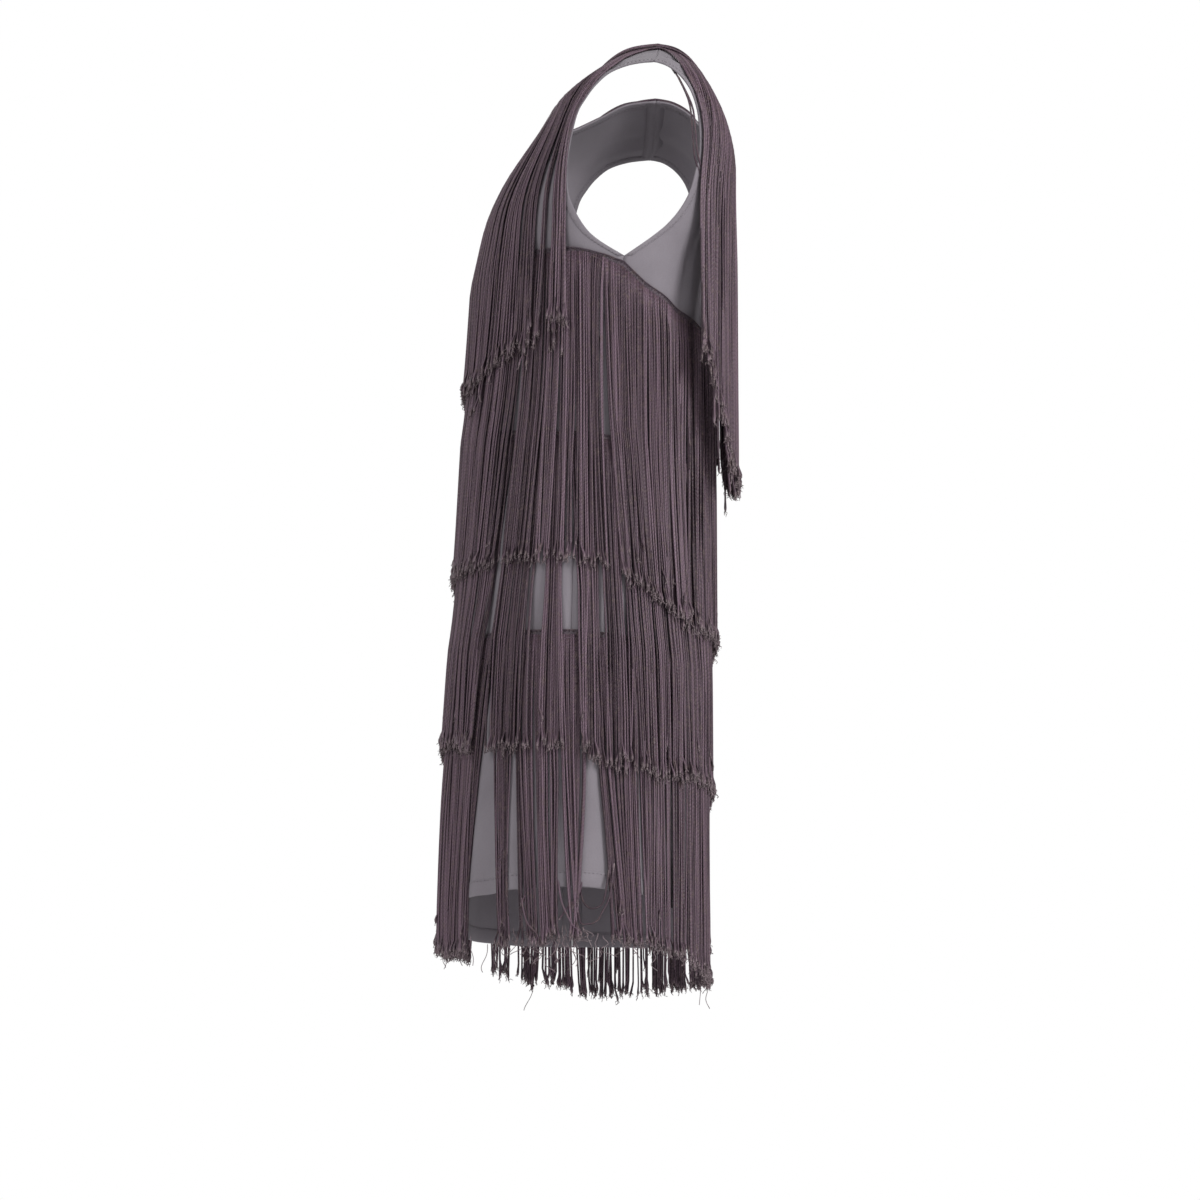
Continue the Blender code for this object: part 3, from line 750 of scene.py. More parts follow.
@dataclass
class PanelForm:
    """One panel's outer surface, with its creases, on a fine grid for each half."""

    facing: Facing
    stations: tuple[Station, ...]
    creases: tuple[Crease, ...]
    columns: int = 44
    fineness: int = 6
    row_samples: int = 160
    seam_calm: float = 14.0 * MM

    def __post_init__(self) -> None:
        """Works out the grid, its outward directions and the tree that pieces lie on."""
        names = [station.name for station in self.stations]
        steps = [station.steps * self.fineness for station in self.stations]
        self.neck_row = sum(steps[:names.index(NECK_CENTRE)])
        self.seam_row = sum(steps[:names.index(UNDERARM)])
        smooth = self.half_grid(names)
        self.row_length = np.array([run_lengths(row)[-1] for row in smooth])
        self.grids = {}
        self.normals = {}
        for side in Side:
            grid = smooth * np.array([side.value, 1.0, 1.0])
            depth = self.crease_depths(grid, side)
            grid = grid + self.outward(grid, side) * depth[:, :, None]
            self.grids[side] = grid
            self.normals[side] = self.outward(grid, side)
        self.tree = self.make_tree()

    def curve(self, which: str, corner: str, names: list[str]) -> np.ndarray:
        """Returns one end of every row as a smooth curve through the stations with one corner."""
        ends = np.array([getattr(station, which) for station in self.stations]) * MM
        turn = names.index(corner)
        rows = []
        for index in range(len(ends) - 1):
            lowest, highest = (0, turn) if index < turn else (turn, len(ends) - 1)
            before, after = ends[max(index - 1, lowest)], ends[min(index + 2, highest)]
            start, end = ends[index], ends[index + 1]
            count = self.stations[index].steps * self.fineness
            for t in np.arange(count) / count:
                rows.append(curved(before, start, end, after, t))
        rows.append(ends[-1])
        return np.array(rows)

    def half_grid(self, names: list[str]) -> np.ndarray:
        """Returns the left half's points, rows from the hem up by columns from the centre out."""
        inner = self.curve("inner", NECK_CENTRE, names)
        outer = self.curve("outer", UNDERARM, names)
        turns = []
        for low, high in zip(self.stations, self.stations[1:]):
            count = low.steps * self.fineness
            turns.extend(low.turn + (high.turn - low.turn) * np.arange(count) / count)
        turns.append(self.stations[-1].turn)
        power = 2.0 / GIRTH_POWER
        rows = []
        for start, end, turn in zip(inner, outer, np.radians(turns)):
            angles = turn * np.linspace(0.0, 1.0, self.row_samples)
            across = np.sin(angles) ** power / math.sin(turn) ** power
            last = max(math.cos(turn), 0.0) ** power
            depth = (np.maximum(np.cos(angles), 0.0) ** power - last) / (1.0 - last)
            dense = np.stack([start[0] + (end[0] - start[0]) * across,
                              end[1] + (start[1] - end[1]) * depth,
                              start[2] + (end[2] - start[2]) * across], axis=1)
            runs = run_lengths(dense)
            rows.append(interpolated(np.linspace(0.0, runs[-1], self.columns + 1), runs, dense))
        grid = np.array(rows)
        grid[:, -1, 1] += self.facing.value * HALF_SEAM_GAP
        grid[-1, :, 1] += self.facing.value * HALF_SEAM_GAP
        return grid

    def outward(self, grid: np.ndarray, side: Side) -> np.ndarray:
        """Returns the outward direction at each point, level across the seams and the centre."""
        normals = np.cross(np.gradient(grid, axis=1), np.gradient(grid, axis=0))
        normals *= -self.facing.value * side.value
        normals[:self.neck_row + 1, 0, 0] = 0.0
        normals[:self.seam_row + 1, -1, 1] = 0.0
        normals[-1, :, 1] = 0.0
        return unit(normals)

    def crease_depths(self, grid: np.ndarray, side: Side) -> np.ndarray:
        """Returns how far the creases move each point of a half out of the smooth form."""
        share = np.linspace(0.0, 1.0, self.columns + 1)[None, :]
        height = grid[:, :, 2] / MM
        total = np.zeros(height.shape)
        for crease in self.creases:
            if crease.side is not side:
                continue
            t = (height - crease.low[1]) / (crease.high[1] - crease.low[1])
            line = crease.low[0] + (crease.high[0] - crease.low[0]) * t + crease.bow * 4 * t * (1 - t)
            away = (share - line) * self.row_length[:, None] / (crease.width * MM)
            fade = 1.0 - smoothstep(0.45, 1.0, t)
            if not crease.to_hem:
                fade = fade * smoothstep(0.0, 0.35, t)
            total += crease.depth * MM * np.exp(-away * away) * fade
        from_seam = (1.0 - share) * self.row_length[:, None]
        total *= smoothstep(0.0, self.seam_calm, from_seam)
        total *= smoothstep(0.0, self.seam_calm, share * self.row_length[:, None])
        steps = np.linalg.norm(np.diff(grid, axis=0), axis=2)
        from_shoulder = np.concatenate([np.cumsum(steps[::-1], axis=0)[::-1],
                                        np.zeros((1, self.columns + 1))])
        total *= smoothstep(0.0, self.seam_calm, from_shoulder)
        return total

    def inward_first(self, side: Side) -> bool:
        """Returns whether a half's faces have to be turned to look outward."""
        return side.value * self.facing.value > 0

    def make_tree(self) -> BVHTree:
        """Returns the tree of the outer surface, with its faces looking outward."""
        points = np.stack([self.grids[side] for side in Side])
        numbers = np.arange(points.size // 3).reshape(points.shape[:3])
        faces = [quads(half, self.inward_first(side)) for half, side in zip(numbers, Side)]
        return tree_of(points, np.concatenate(faces))

    def at(self, across: float, height: float) -> tuple[np.ndarray, np.ndarray]:
        """Returns the point and the outward direction at a place.

        Args:
            across: Place from -1 at the right side seam to 1 at the left one.
            height: Height in metres.

        Returns:
            The point and the direction.
        """
        side = Side.LEFT if across >= 0 else Side.RIGHT
        column = min(abs(across), 1.0) * self.columns
        low = min(int(column), self.columns - 1)
        part = column - low
        line = (1 - part) * self.grids[side][:, low] + part * self.grids[side][:, low + 1]
        outs = (1 - part) * self.normals[side][:, low] + part * self.normals[side][:, low + 1]
        return (interpolated(height, line[:, 2], line),
                unit(interpolated(height, line[:, 2], outs)))

    def edge(self, side: Side, neck: bool) -> tuple[np.ndarray, np.ndarray, np.ndarray]:
        """Returns the neck edge from the centre, or the armhole edge from the side seam, up.

        Args:
            side: The wearer's side.
            neck: True for the neck edge and False for the armhole.

        Returns:
            The points, the outward directions and the directions into the cloth.
        """
        first, column, inside = (self.neck_row, 0, 1) if neck else (self.seam_row, -1, -2)
        points = self.grids[side][first:, column]
        into = self.grids[side][first:, inside] - points
        return points, self.normals[side][first:, column], unit(into)


@dataclass
class ClothPanel:
    """The cloth of one panel: a closed thin shell on the panel's form."""

    form: PanelForm
    wall: float = 1.1 * MM

    def build(self, finishes: Finishes) -> bpy.types.Object:
        """Makes the shell, dresses it and hides the panel's solid."""
        form = self.form
        rows, width = form.grids[Side.LEFT].shape[:2]
        own = np.ones((rows, width), dtype=bool)
        own[:form.neck_row + 1, 0] = False
        left = np.arange(rows * width).reshape(rows, width)
        right = np.where(own, rows * width - 1 + np.cumsum(own).reshape(rows, width), left)
        columns = np.arange(width) / (width - 1)
        outer, outs, places, faces = [], [], [], []
        for side, numbers, kept in ((Side.LEFT, left, left >= 0), (Side.RIGHT, right, own)):
            grid = form.grids[side]
            outer.append(grid[kept])
            outs.append(form.normals[side][kept])
            along = side.value * form.row_length[:, None] * columns
            places.append(np.stack([along, grid[:, :, 2]], axis=-1)[kept])
            faces.append(quads(numbers, form.inward_first(side)))
        outer, outs, uv, skin = (np.concatenate(part) for part in (outer, outs, places, faces))
        edges = {}
        for face in skin.tolist():
            for first, second in zip(face, face[1:] + face[:1]):
                if edges.pop((second, first), None) is None:
                    edges[first, second] = True
        count = len(outer)
        rim = np.array([[second, first, first + count, second + count] for first, second in edges])
        everything = np.concatenate([skin, skin[:, ::-1] + count, rim])
        parts = MeshParts()
        origin = parts.add_points(np.concatenate([outer, outer - outs * self.wall]))
        parts.add_faces(origin, everything, np.concatenate([uv, uv])[everything])
        name = f"{self.form.facing.word}_cloth"
        piece = parts.build(name, finishes.cloth)
        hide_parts(f"{self.form.facing.word}_panel")
        return piece


@dataclass
class SewnEdges:
    """The turned and stitched neck, armhole and hem edges of a panel, and its seam allowances."""

    form: PanelForm
    wall: float = 1.1
    turn: float = 7.0
    hem_turn: float = 14.0
    allowance: float = 9.0
    stitch: float = 2.6 * MM
    stitch_gap: float = 1.2 * MM

    def section(self, width: float) -> tuple[Pair, ...]:
        """Returns the section of an edge that is turned in over that width, in millimetres."""
        back = -self.wall
        return ((width, 0.04), (width - 0.7, 0.34), (0.5, 0.38), (-0.35, 0.12), (-0.45, 0.5 * back),
                (-0.35, back - 0.12), (0.5, back - 0.45), (width - 0.7, back - 0.42),
                (width, back - 0.05))

    def turned_edge(self, cloth: MeshParts, thread: MeshParts, line: np.ndarray, into: np.ndarray,
                    outs: np.ndarray, width: float) -> None:
        """Adds one turned edge and its row of stitches.

        Args:
            cloth: The mesh of the edges.
            thread: The mesh of the stitches.
            line: The edge, one point a row.
            into: Direction into the cloth at each point.
            outs: Direction off the cloth at each point.
            width: Width of the turning in millimetres.
        """
        cloth.add_band(line, into, outs, self.section(width), closed=False)
        for level in (0.34 * MM, -(self.wall + 0.42) * MM):
            row = line + into * (width - 1.6) * MM + outs * level
            away = outs if level > 0 else -outs
            add_stitches(thread, row, away, self.stitch, self.stitch_gap, 0.26 * MM)

    def seam(self, cloth: MeshParts, line: np.ndarray, outs: np.ndarray) -> None:
        """Adds the seam allowance that lies open behind a seam, on this panel's side.

        Args:
            cloth: The mesh of the edges.
            line: The seam, one point a row.
            outs: Direction off the cloth at each point.
        """
        across = unit(np.cross(np.gradient(line, axis=0), outs))
        if across[len(line) // 2, 1] * self.form.facing.value < 0:
            across = -across
        back = -self.wall
        section = ((-0.3, -0.35), (-0.3, back - 0.7), (0.4, back - 0.95), (self.allowance, back - 1.65),
                   (self.allowance, back - 1.1), (0.4, back + 0.2))
        cloth.add_band(line, across, outs, section, closed=False)

    def build(self, finishes: Finishes) -> list[bpy.types.Object]:
        """Makes the edges and seam allowances, and their stitches."""
        form = self.form
        cloth, thread = MeshParts(), MeshParts()
        for side in Side:
            grid, normals = form.grids[side], form.normals[side]
            for neck in (True, False):
                line, outs, into = form.edge(side, neck)
                self.turned_edge(cloth, thread, line, into, outs, self.turn)
            self.turned_edge(cloth, thread, grid[0], unit(grid[1] - grid[0]), normals[0],
                             self.hem_turn)
            self.seam(cloth, grid[2:form.seam_row + 1, -1], normals[2:form.seam_row + 1, -1])
            self.seam(cloth, grid[-1], normals[-1])
        word = form.facing.word
        edges = cloth.build(f"sewn_edges_{word}", finishes.cloth)
        return [edges, thread.build(f"edge_stitches_{word}", finishes.thread)]


@dataclass
class Layer:
    """A surface that a strand lies on, and how far off it the strand's middle stays."""

    tree: BVHTree
    lift: float


@dataclass
class Faller:
    """Lets a guide line drop, pushed out by whatever it lies on."""

    layers: list[Layer]
    step: float = 4.0 * MM
    deepest: float = 16.0 * MM
    turn: float = 0.25

    def pushed(self, point: Vector) -> tuple[Vector, Vector | None]:
        """Returns the point moved out of every layer, and the last layer's direction, if any."""
        touched = None
        for layer in self.layers:
            near, normal, _, _ = layer.tree.find_nearest(point)
            offset = point - near
            out = offset.dot(normal)
            beside = (offset - normal * out).length
            if -self.deepest < out < layer.lift and beside < 0.5 * self.step:
                point = point + normal * (layer.lift - out)
                touched = normal
        return point, touched

    def drop(self, points: list[Vector], normals: list[Vector], length: float) -> None:
        """Adds points to a guide until it has the length.

        Args:
            points: The guide so far, which grows.
            normals: Its outward directions, which grow with it.
            length: The wanted length in metres.
        """
        run = sum((b - a).length for a, b in zip(points, points[1:]))
        normal = normals[-1]
        while run < length:
            point, touched = self.pushed(points[-1] - Vector((0, 0, self.step)))
            if touched is None:
                touched = Vector((normal.x, normal.y, 0)).normalized()
            normal = normal.lerp(touched, self.turn).normalized()
            run += (point - points[-1]).length
            points.append(point)
            normals.append(normal)


@dataclass
class Curtain:
    """Guide lines side by side, at even lengths, that strands are laid between."""

    points: np.ndarray
    outs: np.ndarray
    step: float
    closed: bool

    @classmethod
    def from_guides(cls, guides: list[tuple[list[Vector], list[Vector]]], length: float,
                    closed: bool, step: float = 4.0 * MM, calm: int = 2) -> "Curtain":
        """Makes a curtain of guides.

        Args:
            guides: Points and outward directions of each guide.
            length: Length of the curtain.
            closed: Whether the last guide is beside the first.
            step: Length between a guide's points.
            calm: How many times the guides are smoothed.

        Returns:
            The curtain.
        """
        targets = np.arange(0.0, length + step, step)
        lines, outs = [], []
        for points, normals in guides:
            line = np.array([tuple(point) for point in points])
            runs = run_lengths(line)
            out = np.array([tuple(normal) for normal in normals])
            lines.append(interpolated(targets, runs, line))
            outs.append(interpolated(targets, runs, out))
        made = cls(np.array(lines), unit(np.array(outs)), step, closed)
        made.bridge_hollows()
        for _ in range(calm):
            inner = made.points[:, 1:-1]
            made.points[:, 1:-1] = 0.5 * inner + 0.25 * (made.points[:, :-2] + made.points[:, 2:])
            made.smooth_across()
        return made

    def bridge_hollows(self, rounds: int = 14, span: int = 3) -> None:
        """Lifts the guides off hollows, as hanging yarn bridges them.

        Args:
            rounds: How many times they are lifted.
            span: How many points above and below each one hold it.
        """
        outs = self.outs[:, span:-span]
        for _ in range(rounds):
            inner = self.points[:, span:-span]
            held = 0.5 * (self.points[:, :-2 * span] + self.points[:, 2 * span:])
            rise = ((held - inner) * outs).sum(-1, keepdims=True)
            self.points[:, span:-span] = inner + outs * np.maximum(rise, 0.0) * 0.8

    def smooth_across(self) -> None:
        """Evens out neighbouring guides a little, except where they start."""
        for grid in (self.points, self.outs):
            before, after = np.roll(grid, 1, axis=0), np.roll(grid, -1, axis=0)
            if not self.closed:
                before[0], after[-1] = grid[0], grid[-1]
                before[-1], after[0] = grid[-1], grid[0]
            share = smoothstep(1.0, 6.0, np.arange(grid.shape[1]))[None, :, None]
            grid += share * 0.5 * (0.5 * (before + after) - grid)
        self.outs = unit(self.outs)

    def round_turns(self, rounds: int) -> None:
        """Rounds the guides' sharp turns along the cloth, and keeps their height off it.

        Args:
            rounds: How many times they are rounded.
        """
        outs = self.outs[:, 1:-1]
        for _ in range(rounds):
            inner = self.points[:, 1:-1]
            move = 0.5 * (self.points[:, :-2] + self.points[:, 2:]) - inner
            move -= outs * (move * outs).sum(-1, keepdims=True)
            self.points[:, 1:-1] = inner + 0.5 * move

    def sample(self, places: np.ndarray, runs: np.ndarray) -> tuple[np.ndarray, np.ndarray]:
        """Returns points and outward directions between the guides.

        Args:
            places: Guide numbers, with fractions.
            runs: Lengths from the top, of the same shape.

        Returns:
            The points and the directions.
        """
        guides, levels = self.points.shape[:2]
        if self.closed:
            low = np.floor(places).astype(int)
            part = (places - low)[..., None]
            low, high = low % guides, (low + 1) % guides
        else:
            inside = np.clip(places, 0.0, guides - 1.001)
            low = inside.astype(int)
            part = (places - low)[..., None]
            high = low + 1
        level = np.clip(runs / self.step, 0.0, levels - 1.001)
        top = level.astype(int)
        drop = (level - top)[..., None]
        found = []
        for grid in (self.points, self.outs):
            upper = grid[low, top] * (1 - part) + grid[high, top] * part
            lower = grid[low, top + 1] * (1 - part) + grid[high, top + 1] * part
            found.append(upper * (1 - drop) + lower * drop)
        return found[0], unit(found[1])

    def envelope(self, thickness: float, length: float) -> BVHTree:
        """Returns the surface over the strands, for what hangs over them to lie on."""
        levels = int(length / self.step)
        grid = (self.points + self.outs * thickness)[:, :levels]
        guides = len(grid)
        numbers = np.arange(guides * levels).reshape(guides, levels)
        if self.closed:
            numbers = np.concatenate([numbers, numbers[:1]])
        tree = tree_of(grid, quads(numbers))
        _, normal, _, _ = tree.find_nearest(Vector(grid[guides // 3, levels // 2]))
        if normal.dot(Vector(self.outs[guides // 3, levels // 2])) < 0:
            tree = tree_of(grid, quads(numbers, turned=True))
        return tree


@dataclass(frozen=True)
class Parting:
    """A place where strands hang apart and show what is under them.

    place is across the panel from -1 to 1. The gap's half widths are in millimetres at the start,
    middle and end of the strands, and reach is how far beside it strands are pressed together.
    lean moves the whole gap towards the wearer's left at its lower end.
    """

    facing: Facing
    place: float
    widths: Triple
    reach: float = 40.0
    lean: float = 0.0


@dataclass
class Strands:
    """Lays strands in a curtain, in uneven locks, and makes them as one mesh."""

    curtain: Curtain
    seed: int
    partings: list[tuple[float, Parting]]
    radius: float = 1.0 * MM
    points: int = 24
    sides: int = 4
    lock_size: Pair = (4, 11)
    pull: Pair = (0.03, 0.30)
    sway: float = 2.6 * MM
    wander: float = 0.9 * MM
    layers: float = 2.4 * MM
    layers_full: float = 0.12
    curl: float = 4.2 * MM
    stray_share: float = 0.05
    stray: float = 3.2 * MM
    plies: int = 3
    ply_radius: float = 0.38 * MM
    ply_step: float = 0.9 * MM
    ply_drop: float = 0.8 * MM

    def __post_init__(self) -> None:
        """Starts the random numbers and sets out where along a strand its points lie."""
        self.random = np.random.default_rng(self.seed)
        body = np.linspace(0.0, FRAY_START, self.points - len(FRAY_SHARES))
        self.share = np.concatenate([body, FRAY_SHARES])

    def locks(self, places: np.ndarray) -> tuple[np.ndarray, np.ndarray]:
        """Returns each strand's lock number and the middle place of each lock."""
        numbers = []
        while len(numbers) < len(places):
            size = int(self.random.integers(*self.lock_size))
            numbers.extend([numbers[-1] + 1 if numbers else 0] * size)
        numbers = np.array(numbers[:len(places)])
        middles = np.array([places[numbers == lock].mean() for lock in range(numbers[-1] + 1)])
        return numbers, middles

    def parted(self, places: np.ndarray, spacing: np.ndarray) -> np.ndarray:
        """Returns how far the partings move each strand, in guide numbers.

        Args:
            places: Guide number of each strand at each of its points.
            spacing: Metres from one guide to the next at each point.

        Returns:
            The moves, of the same shape.
        """
        moves = np.zeros(places.shape)
        for middle, parting in self.partings:
            width = np.interp(self.share, [0.0, 0.5, 1.0], parting.widths)[None, :] * MM
            lean = parting.lean * MM * self.share[None, :] ** 1.2
            away = (places - middle) * spacing
            near = np.exp(-np.abs(away) / (parting.reach * MM))
            side = np.sign(places[:, :1] - middle)
            moves += (side * width + lean) * near / spacing
        return moves

    def lay(self, places: np.ndarray, lengths: np.ndarray) -> tuple[np.ndarray, np.ndarray]:
        """Returns the strands' centre lines and outward directions.

        Args:
            places: Guide number of each strand's root.
            lengths: Length of each strand.

        Returns:
            Both arrays, strands by points by 3.
        """
        rng = self.random
        count = len(places)
        share = self.share[None, :]
        numbers, middles = self.locks(places)
        pull = rng.uniform(*self.pull, len(middles))[numbers][:, None]
        lines = places[:, None] + ((middles[numbers] - places)[:, None] * pull
                                   * share ** 1.2 * (1.15 - 0.6 * share ** 3))
        runs = lengths[:, None] * share
        here, _ = self.curtain.sample(lines, runs)
        beside, _ = self.curtain.sample(lines + 0.5, runs)
        spacing = np.maximum(2.0 * np.linalg.norm(beside - here, axis=-1), 0.4 * MM)
        lines = lines + self.parted(lines, spacing)
        points, outs = self.curtain.sample(lines, runs)
        across = unit(np.cross(np.gradient(points, axis=1), outs))
        lean = rng.normal(0.0, self.sway, len(middles))[numbers][:, None] * share ** 1.6
        bend = rng.normal(0.0, 0.5 * self.sway, len(middles))[numbers][:, None]
        phase = rng.uniform(0, 2 * math.pi, (count, 1))
        rate = rng.uniform(3.0, 9.0, (count, 1))
        own = self.wander * rng.normal(0.0, 1.0, (count, 1))
        own = own * np.sin(rate * share + phase) * share ** 0.6
        aside = lean + bend * np.sin(math.pi * share) + own
        stray = rng.random((count, 1)) < self.stray_share
        stray = stray * rng.normal(0.0, self.stray, (count, 1)) * share ** 2
        depth = rng.random((count, 1))
        swap = 0.35 * np.sin(2.0 * share * rng.uniform(1, 3, (count, 1)) + phase)
        level = np.clip(depth + swap, 0.0, 1.0) * smoothstep(0.0, self.layers_full, share)
        points = points + across * (aside + stray)[..., None]
        points = points + outs * (0.2 * MM + self.layers * level)[..., None]
        tip = smoothstep(FRAY_START, 1.0, share) ** 0.8
        turn = rng.uniform(0, 2 * math.pi, (count, 1))
        reach = self.curl * rng.random((count, 1)) ** 1.5 * tip
        points = points + across * (reach * np.cos(turn))[..., None]
        points = points + outs * (reach * 0.8 * np.abs(np.sin(turn)))[..., None]
        points[..., 2] += (reach * 0.8 * rng.random((count, 1)))
        return points, outs

    def frays(self, tips: np.ndarray) -> tuple[np.ndarray, np.ndarray]:
        """Returns the loose plies at the cut ends, as centre lines and directions.

        Args:
            tips: End of each strand.

        Returns:
            Both arrays, plies by points by 3.
        """
        starts = np.repeat(tips, self.plies, axis=0)
        steps = self.random.normal(0.0, self.ply_step, (len(starts), 4, 3))
        steps[:, :, 2] -= self.ply_drop
        steps[:, 0] = 0.0
        lines = starts[:, None] + np.cumsum(steps, axis=1)
        return lines, unit(np.broadcast_to(np.array(PLY_LEAN), lines.shape))

    def build(self, name: str, node: str, places: np.ndarray, lengths: np.ndarray,
              finishes: Finishes) -> bpy.types.Object:
        """Makes the strands as one piece and hides the solid of the node.

        Args:
            name: Name of the piece.
            node: Name of the solid's node.
            places: Guide number of each strand's root.
            lengths: Length of each strand.
            finishes: The dress's materials.

        Returns:
            The piece.
        """
        lines, outs = self.lay(places, lengths)
        count = len(places)
        radii = self.radius * self.random.uniform(0.86, 1.10, (count, 1)) * np.ones((1, self.points))
        radii[:, -len(FRAY_WIDTHS):] *= np.array(FRAY_WIDTHS)
        parts = MeshParts()
        parts.add_tubes(lines, outs, radii, self.sides, first=self.seed * 1000 % 7001)
        plies, ply_outs = self.frays(lines[:, -1])
        thin = np.full(plies.shape[:2], self.ply_radius)
        thin[:, -1] = 0.2 * MM
        parts.add_tubes(plies, ply_outs, thin, 3, first=9000, share_from=0.99)
        piece = parts.build(name, finishes.fringe)
        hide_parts(node)
        return piece


@dataclass
class Tape:
    """The woven heading that the strands hang from, as a band with two rows of stitches."""

    tops: np.ndarray
    bottoms: np.ndarray
    outs: np.ndarray
    closed: bool
    lift: float = 0.15 * MM
    thickness: float = 1.6 * MM
    cord_radius: float = 0.75 * MM
    stitch: float = 2.4 * MM
    stitch_gap: float = 1.4 * MM
    rib: float = 2.2 * MM

    @classmethod
    def through(cls, edges: list[tuple[np.ndarray, ...]], **settings: float) -> "Tape":
        """Makes a tape from the top edge, the bottom edge and the outward direction at each place."""
        return cls(*(np.array(part) for part in zip(*edges)), **settings)

    def rail(self, share: float, out: float) -> np.ndarray:
        """Returns a line along the tape.

        Args:
            share: Place from 0 at the top edge to 1 at the bottom one.
            out: Distance off the cloth.

        Returns:
            One point a row.
        """
        return self.tops * (1 - share) + self.bottoms * share + self.outs * out

    def band(self, parts: MeshParts) -> None:
        """Adds the flat band, its corners rounded off."""
        width = np.linalg.norm(self.bottoms - self.tops, axis=1).mean() / MM
        low, high = self.lift / MM, (self.lift + self.thickness) / MM
        section = ((0.1, low), (0.0, 0.5 * (low + high)), (0.5, high - 0.15), (2.4, high),
                   (width - 2.4, high), (width - 0.5, high - 0.15), (width, 0.5 * (low + high)),
                   (width - 0.1, low))
        parts.add_band(self.tops, unit(self.bottoms - self.tops), self.outs, section, self.closed,
                       pitch=2.0 * self.rib)

    def cords(self, parts: MeshParts) -> None:
        """Adds the raised cords along the top and bottom edges."""
        for share in (0.07, 0.93):
            line = self.rail(share, self.lift + self.thickness)
            if self.closed:
                line = np.concatenate([line, line[:1]])
            outs = np.concatenate([self.outs, self.outs[:1]]) if self.closed else self.outs
            radii = np.full((1, len(line)), self.cord_radius)
            parts.add_tubes(line[None], outs[None], radii, 5, first=3)

    def stitches(self, parts: MeshParts) -> None:
        """Adds the two rows of stitches that hold the tape to the cloth."""
        for share in (0.22, 0.80):
            line = self.rail(share, self.lift + self.thickness + 0.15 * MM)
            add_stitches(parts, line, self.outs, self.stitch, self.stitch_gap, 0.36 * MM)

    def build(self, name: str, finishes: Finishes) -> bpy.types.Object:
        """Makes the tape with its cords and stitches as one piece."""
        parts = MeshParts()
        self.band(parts)
        self.cords(parts)
        self.stitches(parts)
        piece = parts.build(name, finishes.heading)
        return piece


def add_stitches(parts: MeshParts, line: np.ndarray, outs: np.ndarray, length: float,
                 gap: float, radius: float) -> None:
    """Adds a row of stitches along a line.

    Args:
        parts: The mesh that they go in.
        line: The line, one point a row.
        outs: Direction off the cloth at each point.
        length: Length of a stitch.
        gap: Length between two stitches.
        radius: Radius of the thread.
    """
    runs = run_lengths(line)
    starts = np.arange(gap, runs[-1] - length, length + gap)
    if not len(starts):
        return
    targets = (starts[:, None] + np.array(STITCH_SHARES)[None, :] * length).ravel()
    paths = interpolated(targets, runs, line).reshape(len(starts), 4, 3)
    away = unit(interpolated(targets, runs, outs).reshape(len(starts), 4, 3))
    paths = paths + away * (np.array(STITCH_SINK) * MM)[None, :, None]
    radii = np.full(paths.shape[:2], radius)
    parts.add_tubes(paths, away, radii, 4)


